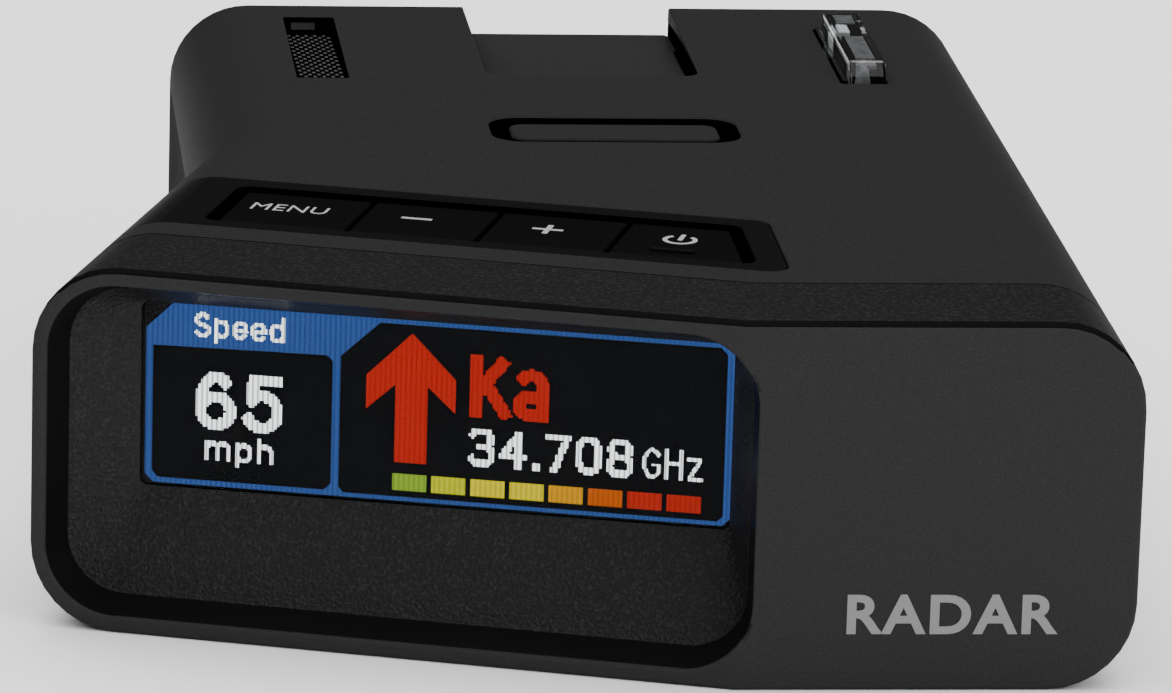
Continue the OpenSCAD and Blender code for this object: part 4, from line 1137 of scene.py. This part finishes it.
key = {"low": 27.58, "top": 30.05, "edge": 0.3, "crown": 0.05, "flangeLow": 27.6, "flangeTop": 28.3}
stem = {"foot": 26.1, "profile": [(0, 1.05), (0.15, 1.2), (1.7, 1.2)]}
for i, bodyName in enumerate(("menu_key", "minus_key", "plus_key", "power_key")):
    loops = [turnedUp(keyOutline(i, -0.15), key["low"] + 0.1),
             turnedUp(keyOutline(i, 0.0), key["low"] + 0.3)]
    for inset, drop in roundSteps(key["edge"], 5):
        loops.append(turnedUp(keyOutline(i, -inset), key["top"] - key["crown"] - drop))
    loops.append(turnedUp(keyOutline(i, -1.2), key["top"] - 0.015))
    loops.append(turnedUp(keyOutline(i, -3.0), key["top"]))
    cap = loft("cap", loops)
    keyStem = tube("stem", facePoint(*keyMiddle(i), stem["foot"]), (0, 0, 1), stem["profile"], 24)
    flange = loft("flange", [turnedUp(keyOutline(i, 0.0, 0.1), z) for z in (key["flangeLow"],
                                                                            key["flangeTop"])])
    piece = joinPieces(bodyName.replace("_key", "_keycap"), [cap, keyStem, flange])
    finish(piece, keyBlack, bodyName, [bodyName], 30.0)

legends = {"low": key["top"] + 0.004, "sunk": 0.02, "menu": (-46.7, -40.3, 24.1, 26.2),
           "minus": (-34.0, -31.4, 24.95, 25.45), "plusAcross": (-22.9, -20.3, 24.95, 25.42),
           "plusDown": (-21.83, -21.37, 23.75, 26.6), "powerX": -10.5, "powerY": 25.3,
           "powerBar": (-10.7, -10.3, 25.1, 27.0), "touchBar": (-12.25, -8.45, 21.15, 21.85)}


def flatShape(points, up=0.02):
    low = legends["low"]
    return loft("shape", [turnedUp(points, low - legends["sunk"]), turnedUp(points, low + up)])


def flatBar(spot, up=0.02):
    return flatShape(rectOutline(*spot, 0.1), up)


letters, letterFaces = lettering("MENU", -0.003, 1.04, 0.05)
x0, x1, y0, y1 = legends["menu"]
menuSpots = [facePoint(x0 + (x1 - x0) * v.x, y0 + (y1 - y0) * v.y, legends["low"] + 0.02 * v.z)
             for v in letters]
powerArcs = [arcPoints(legends["powerX"], legends["powerY"], radius, 128, 412, 28)
             for radius in (1.05, 1.45)]
printed = {
    "menu": newObject("legend_menu", menuSpots, letterFaces),
    "minus": joinPieces("legend_minus", [flatBar(legends["minus"])]),
    "plus": joinPieces("legend_plus", [flatBar(legends["plusAcross"]), flatBar(legends["plusDown"], 0.025)]),
    "power": joinPieces("legend_power", [flatShape(powerArcs[0][::-1] + powerArcs[1]),
                                         flatBar(legends["powerBar"], 0.025)])}
for name, piece in printed.items():
    finish(piece, legendPrint, name + "_key", [])
touchBar = loft("power_key_touch_bar", [
    turnedUp(rectOutline(*legends["touchBar"], 0.3, g), key["top"] + z)
    for g, z in ((0, -0.05), (0, 0.1), (-0.08, 0.2), (-0.2, 0.23))])
finish(touchBar, deckBlack, "power_key", [])
print("keys ready")

# mute bar

muteSteps = [(27.6, 0.7), (28.3, 0.75), (28.35, 0.0)]
muteSteps += [(hullTop - 0.16 - drop, -inset) for inset, drop in roundSteps(0.35, 5)]
muteSteps += [(hullTop - 0.11, -1.0), (hullTop - 0.1, -2.0)]
muteCap = loft("bar", [muteLoop(z, grow, mute["radius"] + grow) for z, grow in muteSteps])
muteStem = tube("stem", (middle, mute["cy"], stem["foot"]), (0, 0, 1), stem["profile"], 24)
mutePiece = joinPieces("mute_bar_cap", [muteCap, muteStem])
finish(mutePiece, coverShell, "mute_bar", ["mute_bar"], 30.0)
# painted shade: the bar's front, side and under faces are coloured near black
paintWhere(mutePiece, paintedShadeBlack, lambda c, n: n.z < 0.4)

# ribbed ramp and sensor window in the rear pocket

ramp = {"x0": pocket["x0"] + 0.08, "x1": pocket["x1"] - 0.08, "y0": pocket["y0"] + 0.08,
        "y1": pocket["y1"] - 0.08, "pitchX": 0.8, "pitchY": 1.02, "wide": 0.4, "long": 0.7, "tall": 0.14,
        "sunk": 0.30}


def rampZ(y):
    return hullTop - ramp["sunk"] - pocket["deep"] * (y - ramp["y0"]) / (ramp["y1"] - ramp["y0"])


def rampLoop(x0, x1, y0, y1, up):
    return [Vector((x, y, rampZ(y) + up)) for x, y in ((x0, y0), (x1, y0), (x1, y1), (x0, y1))]


def ribLoop(cx, cy, shrink, up):
    halfWide, halfLong = ramp["wide"] / 2 - shrink, ramp["long"] / 2 - shrink
    return rampLoop(cx - halfWide, cx + halfWide, cy - halfLong, cy + halfLong, up)


ribs = [loft("slab", [rampLoop(ramp["x0"], ramp["x1"], ramp["y0"], ramp["y1"], up)
                      for up in (-0.3, -0.01)])]
for r in range(int((ramp["y1"] - ramp["y0"]) / ramp["pitchY"])):
    cy = ramp["y0"] + (r + 0.5) * ramp["pitchY"]
    shift = 0.5 * ramp["pitchX"] if r % 2 else 0.0
    for c in range(int((ramp["x1"] - ramp["x0"] - shift) / ramp["pitchX"])):
        cx = ramp["x0"] + shift + (c + 0.5) * ramp["pitchX"]
        ribs.append(loft("rib", [ribLoop(cx, cy, 0.0, -0.02), ribLoop(cx, cy, 0.04, ramp["tall"] * 0.7),
                                 ribLoop(cx, cy, 0.12, ramp["tall"])]))
rampPiece = joinPieces("sensor_ribs", ribs)
# painted light and shade: the ribs and the ramp between them are coloured near black as shade, and the rib
# tops a lighter lit grey
finish(rampPiece, paintedShadeBlack, "case", ["sensor_ramp"], 20.0)
paintWhere(rampPiece, ribTopLitGrey, lambda c, n: n.z > 0.5 and c.z > rampZ(c.y) + 0.02)
sensorPiece = box("sensor_pane", -18.35, -16.15, 51.35, 51.75, 29.05, 29.75)
finish(sensorPiece, sensorSmoke, "case", ["sensor_window"])
print("small parts ready")

# periscope lens

lensSide = [(lens["y0"], 27.3), (lens["y1"], 27.3), (lens["y1"], 30.95), (lens["y1"] - 0.25, 31.2),
            (lens["y1"] - 1.25, 32.05), (lens["y1"] - 1.5, 32.18), (lens["y0"] + 0.85, 32.18),
            (lens["y0"] + 0.6, 32.05), (lens["y0"] + 0.15, 31.2), (lens["y0"], 30.9)]


def lensLoop(x, inset):
    # the lens's side view, drawn in at both ends and, above the seat, at the top
    cy = (lens["y0"] + lens["y1"]) / 2
    half = (lens["y1"] - lens["y0"]) / 2
    return [Vector((x, cy + (y - cy) * (1 - inset / half), z - (inset if z > 30.5 else 0)))
            for y, z in lensSide]


prismSteps = ((0.0, 0.3), (0.1, 0.1), (0.3, 0.0))
lensBody = loft("periscope_prism", [lensLoop(lens["x0"] + x, inset) for x, inset in prismSteps]
                + [lensLoop(lens["x1"] - x, inset) for x, inset in reversed(prismSteps)])
finish(lensBody, lensClear, "case", ["periscope_lens"], 20.0)
lensFlange = box("periscope_flange", lens["x0"] - 0.5, lens["x0"] - 0.04, lens["y0"] + 0.1,
                 lens["y1"] - 0.1, 28.0, 30.5)
finish(lensFlange, lensClear, "case", [])


def lensBlock(x0, x1, y0, y1, z1):
    # a block inside the lens, from the seat up to z1, for the light guide's core and for the painted
    # highlight and shade blocks
    return loft("block", [upright(rectOutline(x0, x1, y0, y1, 0.25, g), z)
                          for g, z in ((0, 28.0), (0, z1 - 0.2), (-0.2, z1))])


coreX0, coreX1, coreMid = lens["x0"] + 0.7, lens["x1"] - 0.6, (lens["x0"] + lens["x1"]) / 2
frosted = moulded("frosted", {"color": (0.15, 0.152, 0.155), "grain": 700.0, "depth": 0.5, "rough": 0.4,
                              "sparkle": 0.45})
lensCore = joinPieces("periscope_core", [lensBlock(coreX0, coreX1, 28.6, 37.6, 31.4),
                                         lensBlock(coreX0, coreX1, 42.8, 46.2, 31.2)])
finish(lensCore, frosted, "case", [])
# painted shade: the core's side faces are coloured near black
paintWhere(lensCore, paintedShadeBlack, lambda c, n: abs(n.x) > 0.5)
# painted highlight: a white block inside the clear lens stands in for the bright highlight on the lens
lensHighlightWhite = moulded("lensHighlightWhite", {"color": (0.75, 0.76, 0.77), "grain": 1500.0, "depth": 0.2, "rough": 0.4})
lensHighlightBlock = joinPieces("periscope_painted_highlight", [lensBlock(coreX0, coreMid, 39.0, 42.2, 31.4)])
finish(lensHighlightBlock, lensHighlightWhite, "case", [])
# painted shade: near-black blocks inside the lens stand in for its dark shaded places
lensShadeBlock = joinPieces("periscope_painted_shade", [lensBlock(coreMid + 0.1, coreX1, 39.0, 42.2, 31.4),
                                              lensBlock(coreMid + 0.2, coreX1, 26.9, 28.2, 31.0)])
finish(lensShadeBlock, paintedShadeBlack, "case", [])
arch = {"x": coreX0 + 0.75, "wide": 0.75, "foot": 29.7, "tall": 1.7}
archLoops = [[Vector((arch["x"] + (arch["wide"] - g) * math.cos(w), y,
                      arch["foot"] + (arch["tall"] - g) * math.sin(w)))
              for w in [math.radians(15.0 * k) for k in range(13)]] for y, g in ((26.8, 0.15), (28.2, 0.0))]
finish(loft("periscope_arch", archLoops), frosted, "case", [])

# sockets on the left wall

sockets = {"power": {"x": -29.0, "holeY": 3.9, "holeZ": 2.35, "depth": 9.8},
           "audio": {"x": -27.0, "holeY": 2.4, "holeZ": 2.4, "depth": 10.0},
           "usb": {"x": -28.9, "holeY": 3.5, "holeZ": 1.1, "depth": 4.9}}


def wallFrame(name, node, socket):
    # square socket: rounded front lip, open cavity, closed end
    low, high = cadBox(node)
    cy, cz = round((low[1] + high[1]) / 2, 3), round((low[2] + high[2]) / 2, 3)
    halfY, halfZ = round((high[1] - low[1]) / 2, 3), round((high[2] - low[2]) / 2, 3)
    x0, holeY, holeZ, depth = socket["x"], socket["holeY"], socket["holeZ"], socket["depth"]
    rings = [(x0 + depth + 2.6, halfY, halfZ, 0.3), (x0 + 0.15, halfY, halfZ, 0.3),
             (x0, halfY - 0.15, halfZ - 0.15, 0.3), (x0, holeY + 0.12, holeZ + 0.12, 0.2),
             (x0 + 0.25, holeY, holeZ, 0.12), (x0 + depth, holeY, holeZ, 0.12)]
    return loft(name, [[Vector((x, p[0], p[1])) for p in rectOutline(cy - hy, cy + hy, cz - hz, cz + hz,
                                                                     radius, 0, 4)]
                       for x, hy, hz, radius in rings])


powerPiece = wallFrame("power_socket_body", "power_jack", sockets["power"])
finish(powerPiece, jackBlack, "case", ["power_jack"])
pin = {"x0": -28.0, "x1": -19.6, "y": 15.4, "pitch": 1.02, "wide": 0.32, "z0": 12.3, "z1": 12.55}
pins = []
for k in range(6):
    y = pin["y"] + pin["pitch"] * k
    pins.append(box("pin", pin["x0"], pin["x1"], y, y + pin["wide"], pin["z0"], pin["z1"]))
finish(joinPieces("power_socket_pins", pins), pinGold, "case", [])
audioLip = tube("lip", (audio["lipX"], audio["y"], audio["z"]), (1, 0, 0), audio["lip"], 40)
audioPiece = joinPieces("audio_socket_body", [audioLip, wallFrame("audioBody", "audio_jack",
                                                                  sockets["audio"])])
finish(audioPiece, jackBlack, "case", ["audio_jack"])
audioRing = tube("audio_socket_contact", (audio["ringX"], audio["y"], audio["z"]), (1, 0, 0),
                 audio["ring"], 40, False)
finish(audioRing, pinGold, "case", [])
usbPiece = wallFrame("usb_socket_shell", "usb_port", sockets["usb"])
finish(usbPiece, tinned, "case", ["usb_port"])
usbTongue = box("usb_socket_tongue", -28.3, -24.2, 38.9, 44.1, 10.95, 11.5)
finish(usbTongue, jackBlack, "case", [])

# infrared window and bracket socket at the rear

windowLoops = [[Vector((infrared["x"] + p[0], y, infrared["z"] + p[1])) for p in
                rectOutline(-infrared["halfX"], infrared["halfX"], -infrared["halfZ"], infrared["halfZ"],
                            0.3, g)]
               for y, g in ((54.4, 0), (56.0, 0), (56.12, -0.12))]
backPlate = box("back", *infrared["plate"])
finish(joinPieces("rear_infrared_window", [loft("pane", windowLoops), backPlate]), windowTint, "case",
       ["rear_window"])

bracket = {"half": 7.9, "front": 43.4, "rear": 56.05, "low": 22.75, "high": 25.85, "slot": 24.7}
bracketPiece = box("bracket_socket_body", middle - bracket["half"], middle + bracket["half"],
                   bracket["front"], bracket["rear"], bracket["low"], bracket["high"])
slotLoops = [[Vector((middle + p[0], y, bracket["slot"] + p[1]))
              for p in rectOutline(-7, 7, -1.1, 1.16, 0.15, g)]
             for y, g in ((44.2, 0), (55.75, 0), (56.0, 0.2), (57, 0.2))]
combine(bracketPiece, loft("slot", slotLoops))
finish(bracketPiece, jackBlack, "case", ["bracket_socket"])

# case screws, seen in their holes in the underside

headProfile = [(0.0, 0.4), (0.0, 1.75), (0.12, 2.0), (0.3, 2.08), (1.35, 2.08), (1.35, 1.05), (23.0, 1.05)]
heads = []
for x, y in screws:
    head = tube("head", (x, y, 0.42), (0, 0, 1), headProfile)
    for halfX, halfY in ((0.3, 1.25), (1.25, 0.3)):  # the two cuts of the cross
        combine(head, box("slot", x - halfX, x + halfX, y - halfY, y + halfY, -0.5, 1.0))
    heads.append(head)
finish(joinPieces("case_screw_set", heads), blackSteel, "case", ["case_screws"])

# generic lettering on the plain face

faceWord = {"text": "RADAR", "x": 20.6, "z": 4.75, "wide": 17.0, "high": 3.3}
letters, letterFaces = lettering(faceWord["text"], 0.028, 1.12, 0.05)
spots = [Vector((faceWord["x"] + faceWord["wide"] * v.x,
                 body["front"] + 0.2 * fascia["printRoom"] * (2 - v.z),
                 faceWord["z"] + faceWord["high"] * v.y)) for v in letters]
finish(newObject("face_lettering", spots, letterFaces), markPrint, "case", [])

# inner CAD nodes keep their meshes and get their own finishes

innerLooks = [
    (boardGreen, ["display_board", "key_board", "mute_board", "main_board"]),
    (chipBlack, ["key_switches", "mute_switch", "processor", "speaker", "speaker_gasket",
                 "laser_receiver"]),
    (flexAmber, ["key_flex", "display_flex"]), (castMetal, ["forward_horn", "rear_horn"]),
    (foamWhite, ["horn_covers"]), (tinned, ["rf_shield", "board_screws"]), (ceramicTan, ["gps_antenna"]),
    (creamPlastic, ["menu_plunger", "minus_plunger", "plus_plunger", "power_plunger", "mute_plunger"])]
for material, names in innerLooks:
    for name in names:
        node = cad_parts[name]
        node.data.materials.clear()
        node.data.materials.append(material)
print("sockets, screws and inner finishes ready")

# floor, lights and camera

floorMat, tree, shader = nodeMaterial("paleFloor")
fleck = addNode(tree, "TexNoise", {"Scale": 9.0})
tint = addNode(tree, "Mix", {"A": (0.90, 0.90, 0.90, 1), "B": (0.93, 0.93, 0.93, 1)}, data_type="RGBA")
wire(tree, (fleck, "Fac", tint, "Factor"), (tint, "Result", shader, "Base Color"))
shader.inputs["Roughness"].default_value = 0.85
floor = newObject("floor", [(-3, -2, 0), (3, -2, 0), (3, 6, 0), (-3, 6, 0)], [(0, 1, 2, 3)])
floor.data.materials.append(floorMat)

# the sky is dark near the horizon and bright overhead
world = bpy.data.worlds.new("studio")
scene.world = world
world.use_nodes = True
sky = world.node_tree.nodes["Background"]
sky.inputs["Color"].default_value = (1.0, 1.0, 1.0, 1)
skyPlace = addNode(world.node_tree, "TexCoord")
skySplit = addNode(world.node_tree, "SeparateXYZ")
skyRise = addNode(world.node_tree, "MapRange", {"From Min": 0.36, "From Max": 0.75, "To Min": 0.05,
                                                "To Max": 1.7})
wire(world.node_tree, (skyPlace, "Generated", skySplit, "Vector"), (skySplit, "Z", skyRise, "Value"),
     (skyRise, "Result", sky, "Strength"))

lights = {
    "overhead": {"spot": (0.0, 0.15, 0.75), "aim": (0, 0, 0), "size": (0.9, 0.7), "power": 7.0},
    "frontRight": {"spot": (0.55, -0.65, 0.35), "aim": (0.01, -0.03, 0.015), "size": (0.5, 0.5),
                   "power": 3.2},
    "nearCamera": {"spot": (0.16, -0.72, 0.20), "aim": (-0.03, -0.05, 0.01), "size": (0.12, 0.12),
                   "power": 0.5},
    "frontLeft": {"spot": (-0.6, -0.5, 0.5), "aim": (0, 0, 0.02), "size": (0.35, 0.5), "power": 0.2}}
for name, lamp in lights.items():
    data = bpy.data.lights.new(name, "AREA")
    data.shape = "RECTANGLE"
    data.size, data.size_y = lamp["size"]
    data.energy = lamp["power"]
    light = bpy.data.objects.new(name, data)
    light.location = lamp["spot"]
    aim = Vector(lamp["aim"]) - Vector(lamp["spot"])
    light.rotation_euler = aim.to_track_quat("-Z", "Y").to_euler()
    scene.collection.objects.link(light)

view = {"spot": Vector((-0.05789, -0.63223, 0.18636)), "azimuth": math.radians(-5.65),
        "elevation": math.radians(15.26), "roll": math.radians(1.68), "lens": 234.58, "sensor": 36.0}
az, el, roll = view["azimuth"], view["elevation"], view["roll"]
right = Vector((math.cos(az), math.sin(az), 0))
back = Vector((math.sin(az) * math.cos(el), -math.cos(az) * math.cos(el), math.sin(el)))
up = back.cross(right)
camX = right * math.cos(roll) + up * math.sin(roll)
camY = up * math.cos(roll) - right * math.sin(roll)
cameraData = bpy.data.cameras.new("camera")
cameraData.lens = view["lens"]
cameraData.sensor_width = view["sensor"]
cameraData.clip_start = 0.01
camera = bpy.data.objects.new("camera", cameraData)
camera.matrix_world = Matrix(((camX.x, camY.x, back.x, view["spot"].x),
                              (camX.y, camY.y, back.y, view["spot"].y),
                              (camX.z, camY.z, back.z, view["spot"].z), (0, 0, 0, 1)))
scene.collection.objects.link(camera)
scene.camera = camera

print("stage ready")
